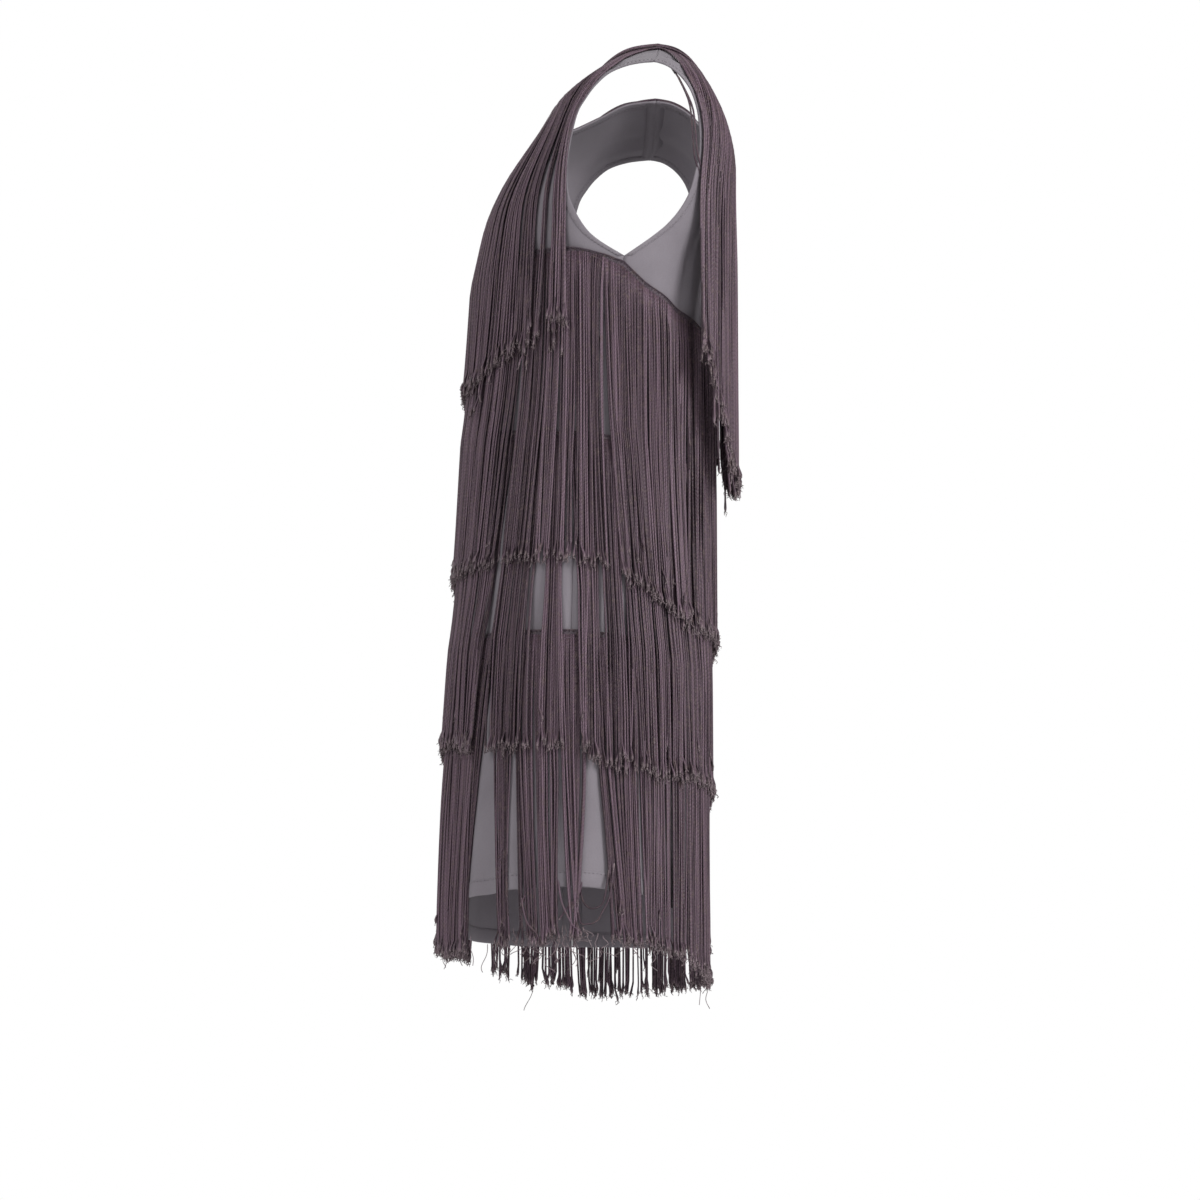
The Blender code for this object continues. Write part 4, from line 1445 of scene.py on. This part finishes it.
@dataclass
class Tier:
    """A tier of fringe that is sewn right round the dress.

    Heights are those of the heading's top edge, in millimetres, at the front centre, the side
    seam and the back centre. short_share of the strands are shorter, by short_by millimetres. The
    cover is the surface over the strands that the next tier lies on.
    """

    name: str
    front_height: float
    side_height: float
    back_height: float
    length: float
    front_strands: int
    back_strands: int
    seed: int
    partings: tuple[Parting, ...] = ()
    extra: tuple[tuple[Facing, float, float, float], ...] = ()
    guides: int = 76
    tape_width: float = 9.0
    front_bend: float = 1.5
    back_bend: float = 2.4
    seam_dip: float = 0.0
    pull: Pair = (0.03, 0.30)
    sway: float = 2.6 * MM
    slack: float = 1.14
    root_share: float = 0.55
    root_lift: float = 1.5
    jitter: float = 0.35
    length_spread: float = 0.010
    short_share: float = 0.06
    short_by: Pair = (6.0, 30.0)
    heading_points: int = 110
    cover_share: float = 1.02
    cover_depth: float = 2.4 * MM
    cover_lift: float = 1.2 * MM

    def height(self, facing: Facing, across: float) -> float:
        """Returns the height of the heading's top edge at a place across a panel, in metres."""
        if facing is Facing.FRONT:
            centre = self.front_height
            bent = math.sin(0.5 * math.pi * min(abs(across), 1.0)) ** self.front_bend
        else:
            centre = self.back_height
            bent = abs(across) ** self.back_bend
        dip = self.seam_dip * float(smoothstep(0.84, 1.0, np.array(abs(across))))
        if facing is Facing.BACK:
            return (centre + (self.side_height - self.seam_dip - centre) * bent) * MM
        return (centre + (self.side_height - centre) * bent - dip) * MM

    def ring(self, count: int) -> list[tuple[Facing, float]]:
        """Returns places right round the dress, from the right side seam over the front."""
        spots = (np.arange(count) + 0.5) / count * 2.0 - 1.0
        return [(Facing.FRONT, spot) for spot in spots] + [(Facing.BACK, -spot) for spot in spots]

    def number(self, facing: Facing, across: float) -> float:
        """Returns the guide number at a place."""
        if facing is Facing.FRONT:
            return (across + 1.0) / 2.0 * self.guides - 0.5
        return self.guides + (1.0 - across) / 2.0 * self.guides - 0.5

    def hang(self, forms: dict[Facing, PanelForm], faller: Faller) -> None:
        """Works out the curtain that the strands hang in.

        Args:
            forms: The two panels.
            faller: What lets the guides drop onto the layers under them.
        """
        guides = []
        length = self.slack * self.length * MM
        for facing, across in self.ring(self.guides):
            height = self.height(facing, across) - self.root_share * self.tape_width * MM
            point, out = forms[facing].at(across, height)
            points = [Vector(point + out * self.root_lift * MM)]
            normals = [Vector(out)]
            faller.drop(points, normals, length)
            guides.append((points, normals))
        self.curtain = Curtain.from_guides(guides, length, closed=True)

    def cover(self) -> Layer:
        """Returns the surface over the strands, for what hangs over them to lie on."""
        length = self.cover_share * self.length * MM
        return Layer(self.curtain.envelope(self.cover_depth, length), self.cover_lift)

    def longer(self, facing: Facing, across: np.ndarray) -> np.ndarray:
        """Returns how much longer strands are at each place, in metres."""
        total = np.zeros(across.shape)
        for which, place, width, amount in self.extra:
            if which is facing:
                total += amount * MM * np.exp(-((across - place) / width) ** 2)
        return total

    def build(self, forms: dict[Facing, PanelForm], finishes: Finishes) -> list[bpy.types.Object]:
        """Makes the front and the back strands and the heading."""
        made = []
        numbered = [(self.number(parting.facing, parting.place), parting) for parting in self.partings]
        for facing, count in ((Facing.FRONT, self.front_strands), (Facing.BACK, self.back_strands)):
            strands = Strands(self.curtain, self.seed + facing.value, numbered, pull=self.pull,
                              sway=self.sway)
            spread = np.linspace(-1.0, 1.0, count + 1)[:-1] + 1.0 / count
            across = spread + strands.random.normal(0.0, self.jitter / count, count)
            places = np.array([self.number(facing, place) for place in across])
            order = np.argsort(places)
            uneven = strands.random.normal(0.0, self.length_spread, count)
            lengths = self.length * MM * (1.0 + uneven)
            short = strands.random.random(count) < self.short_share
            lengths -= short * strands.random.uniform(*self.short_by, count) * MM
            lengths += self.longer(facing, across)
            name = f"{self.name}_strands_{facing.word}"
            made.append(strands.build(name, f"{self.name}_fringe_{facing.word}", places[order],
                                      lengths[order], finishes))
        made.append(self.build_heading(forms, finishes))
        return made

    def build_heading(self, forms: dict[Facing, PanelForm], finishes: Finishes) -> bpy.types.Object:
        """Makes the heading that the tier hangs from."""
        edges = []
        for facing, across in self.ring(self.heading_points):
            height = self.height(facing, across)
            top, out = forms[facing].at(across, height)
            bottom, _ = forms[facing].at(across, height - self.tape_width * MM)
            edges.append((top, bottom, out))
        return Tape.through(edges, closed=True).build(f"{self.name}_heading", finishes)


@dataclass
class NeckFringe:
    """The fringe along one panel's neckline, from shoulder to shoulder.

    tips gives the height of the tips in millimetres at places from 0 at the centre to 1 at the
    shoulder, and lean how much lower those on the wearer's left hang than on the right. reach is
    how much of the way to the armhole edge the outermost strand goes. Beyond long_from,
    long_share of the strands are longer, by long_by millimetres.
    """

    facing: Facing
    tips: tuple[Pair, ...]
    strand_count: int
    seed: int
    partings: tuple[Parting, ...] = ()
    reach: float = 0.985
    lean: float = 8.0
    layers: float = 2.4 * MM
    guides: int = 84
    longest: float = 420.0
    tape_width: float = 9.0
    arc_height: float = -150.0
    arc_step: float = 1.5
    arc_reach: float = 0.4
    spread_angle: float = 80.0
    settle: float = 26.0
    rounding: int = 30
    jitter: float = 0.3
    length_spread: float = 0.012
    long_share: float = 0.12
    long_from: float = 0.35
    long_by: Pair = (6, 34)
    heading_points: int = 121

    def neck_point(self, form: PanelForm, share: float) -> tuple[np.ndarray, np.ndarray, np.ndarray]:
        """Returns a point of the neck edge, its outward direction and the one into the cloth.

        Args:
            form: The panel.
            share: Place from -1 at the right shoulder, over 0 at the centre, to 1.

        Returns:
            The three vectors.
        """
        side = Side.LEFT if share >= 0 else Side.RIGHT
        points, outs, _ = form.edge(side, neck=True)
        runs = run_lengths(points)
        target = abs(share) * runs[-1]
        out = unit(interpolated(target, runs, outs))
        along = unit(interpolated(target, runs, np.gradient(points, axis=0)))
        into = unit(np.cross(along, out))
        if into[2] > 0:
            into = -into
        return interpolated(target, runs, points), out, into

    def across(self, form: PanelForm, share: float, angle: float) -> float:
        """Returns how far from the centre a strand would lie where all are spread out evenly.

        Args:
            form: The panel.
            share: Place of its root from 0 at the centre to 1 at the shoulder.
            angle: Turn from straight up round the middle of the arc over the chest or blades.

        Returns:
            The distance in metres.
        """
        found = []
        for neck in (True, False):
            points = form.edge(Side.LEFT, neck)[0]
            turns = np.arctan2(np.abs(points[:, 1]), points[:, 2] - self.arc_height * MM)[::-1]
            turns = np.maximum.accumulate(turns)
            found.append(np.interp(angle, turns, points[::-1, 0]))
            if neck:
                runs = run_lengths(points)[::-1]
                begun = float(np.interp(angle, turns, runs / runs[0]))
        part = min(max((share - begun) / (1.0 - begun + 1e-6), 0.0), 1.0)
        full = math.radians(self.spread_angle)
        return found[0] + (self.reach * found[1] - found[0]) * math.sin(full * part) / math.sin(full)

    def guide(self, form: PanelForm, faller: Faller, share: float,
              length: float) -> tuple[list[Vector], list[Vector]]:
        """Leads a guide from the neck over the chest or the blades and lets it drop.

        Args:
            form: The panel.
            faller: What lets the guide drop.
            share: Place along the neckline.
            length: Length of the guide.

        Returns:
            Its points and outward directions.
        """
        edge, out, into = self.neck_point(form, share)
        root = Vector(edge + into * 2.0 * MM + out * STRAND_LIFT * MM)
        centre = Vector((0.0, 0.0, self.arc_height * MM))
        start = math.atan2(abs(root.y), root.z - centre.z)
        points, normals = [root], [Vector(out)]
        angle = start
        step = math.radians(self.arc_step)
        while angle + step < 0.5 * math.pi:
            angle += step
            settled = float(smoothstep(0.0, math.radians(self.settle), np.array(angle - start)))
            wide = math.copysign(self.across(form, abs(share), angle), share)
            x = root.x + (wide - root.x) * settled
            ray = Vector((0.0, self.facing.value * math.sin(angle), math.cos(angle)))
            hit, normal, _, _ = form.tree.ray_cast(Vector((x, 0.0, centre.z)), ray, self.arc_reach)
            if hit is None:
                break
            if normal.dot(ray) < 0:
                normal.negate()
            normals.append(normals[-1].lerp(normal, 0.4).normalized())
            points.append(hit + normal * STRAND_LIFT * MM)
        faller.drop(points, normals, length)
        return points, normals

    def hang(self, form: PanelForm, faller: Faller) -> None:
        """Works out the curtain that the strands hang in, and how long they are at each guide."""
        shares = (np.arange(self.guides) + 0.5) / self.guides * 2.0 - 1.0
        guides = [self.guide(form, faller, share, self.longest * MM) for share in shares]
        self.curtain = Curtain.from_guides(guides, self.longest * MM, closed=False)
        self.curtain.round_turns(self.rounding)
        places, heights = zip(*self.tips)
        lengths = []
        for share, line in zip(shares, self.curtain.points):
            tip = (np.interp(abs(share), places, heights) - self.lean * share) * MM
            lengths.append(np.interp(-tip, -line[:, 2], run_lengths(line)))
        self.lengths = np.array(lengths)

    def build(self, form: PanelForm, finishes: Finishes) -> list[bpy.types.Object]:
        """Makes the strands and the heading."""
        count = self.strand_count
        numbered = [((parting.place + 1.0) / 2.0 * self.guides - 0.5, parting)
                    for parting in self.partings]
        strands = Strands(self.curtain, self.seed, numbered, layers=self.layers, pull=(0.0, 0.35),
                          layers_full=0.35)
        across = np.linspace(-1.0, 1.0, count + 1)[:-1] + 1.0 / count
        across = np.sort(across + strands.random.normal(0.0, self.jitter / count, count))
        places = (across + 1.0) / 2.0 * self.guides - 0.5
        lengths = np.interp(places, np.arange(self.guides), self.lengths)
        lengths = lengths * (1.0 + strands.random.normal(0.0, self.length_spread, count))
        long = (strands.random.random(count) < self.long_share) & (np.abs(across) > self.long_from)
        lengths += long * strands.random.uniform(*self.long_by, count) * MM
        word = self.facing.word
        made = [strands.build(f"neck_strands_{word}", f"neck_fringe_{word}", places, lengths, finishes)]
        edges = []
        for share in np.linspace(-1.0, 1.0, self.heading_points):
            edge, out, into = self.neck_point(form, share)
            edges.append((edge, edge + into * self.tape_width * MM, out))
        tape = Tape.through(edges, closed=False, lift=0.3 * MM, thickness=0.9 * MM,
                            cord_radius=0.45 * MM)
        made.append(tape.build(f"neck_heading_{word}", finishes))
        return made


LAMPS = (
    ("key", (2.4, 3.2, 1.6), 1.8, 160.0),
    ("fill", (3.0, -2.4, 1.7), 2.2, 66.0),
    ("back", (-2.6, -1.6, 1.6), 2.2, 50.0),
)
LAMP_AIM = Vector((0.0, -0.05, -0.45))


@dataclass
class Studio:
    """The plain floor, the soft lights and the camera."""

    floor_height: float = -1.46
    camera_place: Triple = (4.0, -0.0526, -1.3848)
    camera_tilt: float = 12.15
    lens: float = 129.21
    sensor: float = 36.0
    farthest: float = 60.0
    floor_reach: float = 14.0

    def build(self) -> None:
        """Makes the floor, the lights, the world and the camera."""
        self.build_floor()
        self.build_world()
        for name, place, size, power in LAMPS:
            self.add_lamp(name, place, size, power)
        data = bpy.data.cameras.new("camera")
        data.lens = self.lens
        data.sensor_width = self.sensor
        data.clip_end = self.farthest
        camera = bpy.data.objects.new("camera", data)
        camera.location = self.camera_place
        camera.rotation_euler = Euler((math.radians(90.0 + self.camera_tilt), 0.0, math.radians(90.0)))
        scene = bpy.context.scene
        scene.collection.objects.link(camera)
        scene.camera = camera
        scene.view_settings.view_transform = "Standard"

    def build_floor(self) -> None:
        """Makes the pale floor, which shows nearly as pale far off as it does near the lamps."""
        corners = [(x * self.floor_reach, y * self.floor_reach, self.floor_height)
                   for x, y in ((-1, -1), (1, -1), (1, 1), (-1, 1))]
        mesh = bpy.data.meshes.new("floor")
        mesh.from_pydata(corners, [], [(0, 1, 2, 3)])
        material = bpy.data.materials.new("floor")
        material.use_nodes = True
        shader = material.node_tree.nodes["Principled BSDF"]
        shader.inputs["Base Color"].default_value = (0.86, 0.86, 0.86, 1.0)
        shader.inputs["Roughness"].default_value = 0.9
        sheet = NodeSheet(material.node_tree)
        pale = sheet.node("ShaderNodeEmission")
        pale.inputs["Strength"].default_value = 0.95
        sheet.feed(material.node_tree.nodes["Material Output"].inputs["Surface"],
                   sheet.for_camera(shader.outputs[0], pale.outputs[0], 0.8))
        mesh.materials.append(material)
        floor = bpy.data.objects.new("floor", mesh)
        bpy.context.scene.collection.objects.link(floor)

    def build_world(self) -> None:
        """Makes a white backdrop that lights the dress less than it shows."""
        world = bpy.data.worlds.new("studio")
        world.use_nodes = True
        sheet = NodeSheet(world.node_tree)
        background = world.node_tree.nodes["Background"]
        seen = sheet.node("ShaderNodeBackground")
        for node, strength in ((background, 0.36), (seen, 1.0)):
            node.inputs["Color"].default_value = (1.0, 1.0, 1.0, 1.0)
            node.inputs["Strength"].default_value = strength
        sheet.feed(world.node_tree.nodes["World Output"].inputs["Surface"],
                   sheet.for_camera(background.outputs[0], seen.outputs[0], 1.0))
        bpy.context.scene.world = world

    def add_lamp(self, name: str, place: Triple, size: float, power: float) -> None:
        """Adds a soft square lamp that looks at the middle of the dress.

        Args:
            name: Name of the lamp.
            place: Where it stands.
            size: Width of its square.
            power: Power in watts.
        """
        data = bpy.data.lights.new(name, "AREA")
        data.size = size
        data.energy = power
        lamp = bpy.data.objects.new(name, data)
        lamp.location = place
        aim = LAMP_AIM - Vector(place)
        lamp.rotation_euler = aim.to_track_quat("-Z", "Y").to_euler()
        bpy.context.scene.collection.objects.link(lamp)


BUST_PARTINGS = (
    Parting(Facing.FRONT, 0.62, (0, 2, 3), 14),
    Parting(Facing.FRONT, 0.93, (0, 2, 5), 20, 4),
    Parting(Facing.BACK, 0.55, (0, 2, 3), 14, -3),
    Parting(Facing.FRONT, -0.55, (0, 2, 4), 18),
)
WAIST_PARTINGS = (
    Parting(Facing.FRONT, 0.69, (0.5, 4, 12), 26, -5),
    Parting(Facing.FRONT, 0.865, (1, 6, 5), 16),
    Parting(Facing.FRONT, 0.945, (1, 8, 8), 20, 2),
    Parting(Facing.FRONT, -0.72, (2, 6, 9), 30, 5),
    Parting(Facing.BACK, 0.69, (0, 1, 2), 8),
    Parting(Facing.BACK, -0.60, (1, 5, 8), 26, 3),
)
HIP_PARTINGS = (
    Parting(Facing.FRONT, 0.69, (1, 11, 23), 42, -3),
    Parting(Facing.FRONT, 0.865, (0, 1, 2), 14, 3),
    Parting(Facing.FRONT, 0.95, (0, 2, 6), 26, 16),
    Parting(Facing.BACK, 0.69, (0, 1, 2), 8),
    Parting(Facing.BACK, 0.95, (0, 7, 18), 34, 0),
    Parting(Facing.BACK, 0.33, (0, 2, 7), 16),
    Parting(Facing.FRONT, -0.64, (2, 9, 16), 36, 8),
    Parting(Facing.BACK, -0.42, (0, 4, 8), 22, 4),
)
FRONT_NECK_TIPS = ((0.0, -325), (0.2, -331), (0.4, -334), (0.7, -312), (0.88, -295), (1.0, -294))
BACK_NECK_TIPS = ((0.0, -417), (0.25, -413), (0.45, -406), (0.58, -372), (0.72, -338), (0.86, -306),
                  (1.0, -290))
FRONT_NECK_PARTINGS = (
    Parting(Facing.FRONT, 0.86, (0, 6, 8), 15, 0),
    Parting(Facing.FRONT, 0.66, (0, 1, 2), 10),
    Parting(Facing.FRONT, -0.84, (0, 3, 6), 16, 3),
)
BACK_NECK_PARTINGS = (
    Parting(Facing.BACK, 0.90, (1, 1, 1), 8),
    Parting(Facing.BACK, 0.78, (1, 2, 2), 12),
    Parting(Facing.BACK, 0.70, (0.5, 1.5, 2), 8),
    Parting(Facing.BACK, 0.62, (0.5, 1.5, 2.5), 8),
    Parting(Facing.BACK, 0.53, (0, 1.5, 2.5), 8),
    Parting(Facing.BACK, -0.62, (0, 1.5, 3), 10),
    Parting(Facing.BACK, -0.80, (1, 2, 3), 14),
)
STRAY_STRANDS = (
    ((197, -73, -806), (206, -69, -837), (206, -63, -847), (206, -55, -847),
     (206, -49, -840), (197, -44, -808)),
    ((197, -75, -808), (208, -71, -857), (208, -63, -862), (208, -55, -859),
     (208, -51, -852), (207, -44, -837), (196, -40, -806)),
    ((197, -66, -806), (207, -71, -834), (207, -81, -847), (207, -89, -858)),
    ((197, -92, -806), (209, -88, -836), (209, -85, -847), (209, -77, -863), (209, -72, -867)),
    ((196, -102, -802), (205, -100, -833), (205, -97, -854), (205, -92, -872),
     (205, -94, -883), (205, -90, -896)),
    ((188, -126, -812), (203, -119, -856), (203, -109, -870), (203, -105, -881)),
    ((136, 15, -40), (142, 18, -47), (147, 21, -53), (149, 31, -78), (148, 34, -105),
     (146, 36, -130), (140, 42, -148), (138, 47, -160)),
    ((135, 17, -41), (141, 20, -49), (146, 23, -56), (148, 34, -82), (148, 37, -108),
     (145, 39, -128), (139, 45, -146), (137, 50, -158)),
)


@dataclass
class LooseYarn:
    """Strands that stray from the others or lie over a shoulder, and thin hairs under the hem."""

    strays: tuple[tuple[Triple, ...], ...]
    seed: int = 17
    hair_count: int = 46
    hair_radius: float = 0.36 * MM
    shoulder_count: int = 22

    def smooth_line(self, points: tuple[Triple, ...], count: int = 30) -> np.ndarray:
        """Returns a smooth line of that many points through points in millimetres."""
        ends = np.array(points, dtype=float) * MM
        ends = np.concatenate([ends[:1], ends, ends[-1:]])
        made = []
        for where in np.linspace(0.0, len(points) - 1.0, count):
            index = min(int(where), len(points) - 2)
            made.append(curved(*ends[index:index + 4], where - index))
        return np.array(made)

    def hair(self, tier: Tier, rng: np.random.Generator) -> np.ndarray:
        """Returns one hair, which curls down from the tip of a strand of the tier."""
        facing = Facing.FRONT if rng.random() < 0.6 else Facing.BACK
        across = 1.0 - 0.3 * rng.random()
        if rng.random() < 0.25:
            across = rng.uniform(-1.0, 0.7)
        place = np.array([tier.number(facing, across)])
        run = np.array([tier.length * MM * rng.uniform(0.93, 1.0)])
        start, out = tier.curtain.sample(place, run)
        side = unit(np.cross(out[0], UP))
        t = np.linspace(0.0, 1.0, 26)[:, None]
        turns, phase = rng.uniform(0.5, 1.7), rng.uniform(0.0, ROUGH_TURN)
        wave = np.sin(ROUGH_TURN * turns * t + phase) - math.sin(phase)
        swing = rng.uniform(2.0, 9.0) * MM * wave * t
        bulge = rng.uniform(0.5, 4.0) * MM * np.sin(ROUGH_TURN * turns * 0.7 * t) * t
        fall = rng.uniform(9.0, 30.0) * MM * t ** 0.9
        return start + out * (1.0 * MM + bulge) + side * swing - UP * fall

    def over_shoulder(self, forms: dict[Facing, PanelForm], side: Side,
                      rng: np.random.Generator) -> tuple[np.ndarray, np.ndarray]:
        """Returns strands that lie along the neck edge over the shoulder seam.

        Args:
            forms: The two panels.
            side: The wearer's side.
            rng: The source of random numbers.

        Returns:
            Centre lines and outward directions, strands by points by 3.
        """
        front = forms[Facing.FRONT].edge(side, neck=True)
        back = forms[Facing.BACK].edge(side, neck=True)
        edge, outs, into = (np.concatenate([a, b[::-1]]) for a, b in zip(front, back))
        runs = run_lengths(edge)
        seam = runs[len(front[0]) - 1]
        share = np.linspace(0.0, 1.0, 24)
        lines, away = [], []
        for _ in range(self.shoulder_count):
            place = np.interp(share, [0.0, 1.0], [seam - rng.uniform(22.0, 62.0) * MM,
                                                  seam + rng.uniform(20.0, 52.0) * MM])
            point, out, aside = (interpolated(place, runs, values) for values in (edge, outs, into))
            rise = 0.4 + (rng.uniform(1.6, 4.4) - 0.4) * np.sin(math.pi * share) ** 0.6
            beside = rng.uniform(0.6, 9.5) + 2.2 * (share - 0.5) * rng.uniform(-1, 1)
            beside = beside + 0.8 * np.sin(5.0 * share + rng.uniform(0.0, ROUGH_TURN))
            lines.append(point + (unit(out) * rise[:, None] + unit(aside) * beside[:, None]) * MM)
            away.append(unit(out))
        return np.array(lines), np.array(away)

    def build(self, tier: Tier, forms: dict[Facing, PanelForm], finishes: Finishes) -> bpy.types.Object:
        """Makes the strays, the strands over the shoulders and the hairs as one piece."""
        rng = np.random.default_rng(self.seed)
        parts = MeshParts()
        for number, points in enumerate(self.strays):
            line = self.smooth_line(points)
            outs = np.broadcast_to(np.array([math.copysign(1.0, points[0][0]), 0.0, 0.0]), line.shape)
            radii = np.full((1, len(line)), 0.9 * MM)
            parts.add_tubes(line[None], outs[None], radii, 6, first=40 + number)
        hairs = np.array([self.hair(tier, rng) for _ in range(self.hair_count)])
        outs = np.broadcast_to(np.array([0.9, -0.4, 0.1]), hairs.shape)
        radii = np.full(hairs.shape[:2], self.hair_radius)
        parts.add_tubes(hairs, outs, radii, 4, first=60, share_from=0.985)
        for side in Side:
            lines, outs = self.over_shoulder(forms, side, rng)
            radii = np.full(lines.shape[:2], 1.0 * MM)
            parts.add_tubes(lines, outs, radii, 5, first=200 + 40 * side.value)
        piece = parts.build("loose_yarn_front", finishes.fringe)
        return piece


def main() -> None:
    """Builds the dress from the cloth out, and the studio round it."""
    logging.basicConfig(level=logging.INFO, format="%(message)s")
    finishes = Finishes.build()
    forms = {
        Facing.FRONT: PanelForm(Facing.FRONT, FRONT_STATIONS, FRONT_CREASES),
        Facing.BACK: PanelForm(Facing.BACK, BACK_STATIONS, BACK_CREASES),
    }
    cloths = {facing: ClothPanel(form).build(finishes) for facing, form in forms.items()}
    trims = [piece for form in forms.values() for piece in SewnEdges(form).build(finishes)]
    layers = [Layer(form.tree, STRAND_LIFT * MM) for form in forms.values()]
    tiers = (
        Tier("hip", -570, -592, -601, 284, 360, 360, 31, HIP_PARTINGS,
             ((Facing.FRONT, -0.6, 0.5, -23.0), (Facing.BACK, 0.8, 0.4, -9.0),
              (Facing.FRONT, 0.45, 0.2, 9.0), (Facing.FRONT, 1.0, 0.2, -9.0),
              (Facing.BACK, -0.6, 0.5, -12.0))),
        Tier("waist", -361, -400, -413, 302, 355, 345, 52, WAIST_PARTINGS,
             ((Facing.BACK, 0.85, 0.3, 10.0), (Facing.BACK, 0.0, 0.4, -11.0))),
        Tier("bust", -211, -219, -282, 305, 385, 355, 73, BUST_PARTINGS,
             ((Facing.FRONT, 0.0, 0.35, -13.0), (Facing.BACK, 0.0, 0.7, -26.0)), back_bend=3.5,
             seam_dip=15.0, pull=(0.02, 0.15), sway=1.6 * MM),
    )
    for tier in tiers:
        tier.hang(forms, Faller(layers))
        trims.extend(tier.build(forms, finishes))
        layers.append(tier.cover())
    trims.append(LooseYarn(STRAY_STRANDS).build(tiers[0], forms, finishes))
    necks = (
        NeckFringe(Facing.FRONT, FRONT_NECK_TIPS, 310, 91, FRONT_NECK_PARTINGS, reach=0.995),
        NeckFringe(Facing.BACK, BACK_NECK_TIPS, 300, 97, BACK_NECK_PARTINGS, lean=22.0,
                   layers=2.0 * MM, settle=14.0),
    )
    for neck in necks:
        neck.hang(forms[neck.facing], Faller(layers))
        trims.extend(neck.build(forms[neck.facing], finishes))
    for facing, cloth in cloths.items():
        mine = [trim for trim in trims if trim.name.endswith(facing.word)]
        if facing is Facing.FRONT:
            mine += [trim for trim in trims if trim.name.endswith("_heading")]
    Studio().build()


if __name__ == "__main__":
    main()
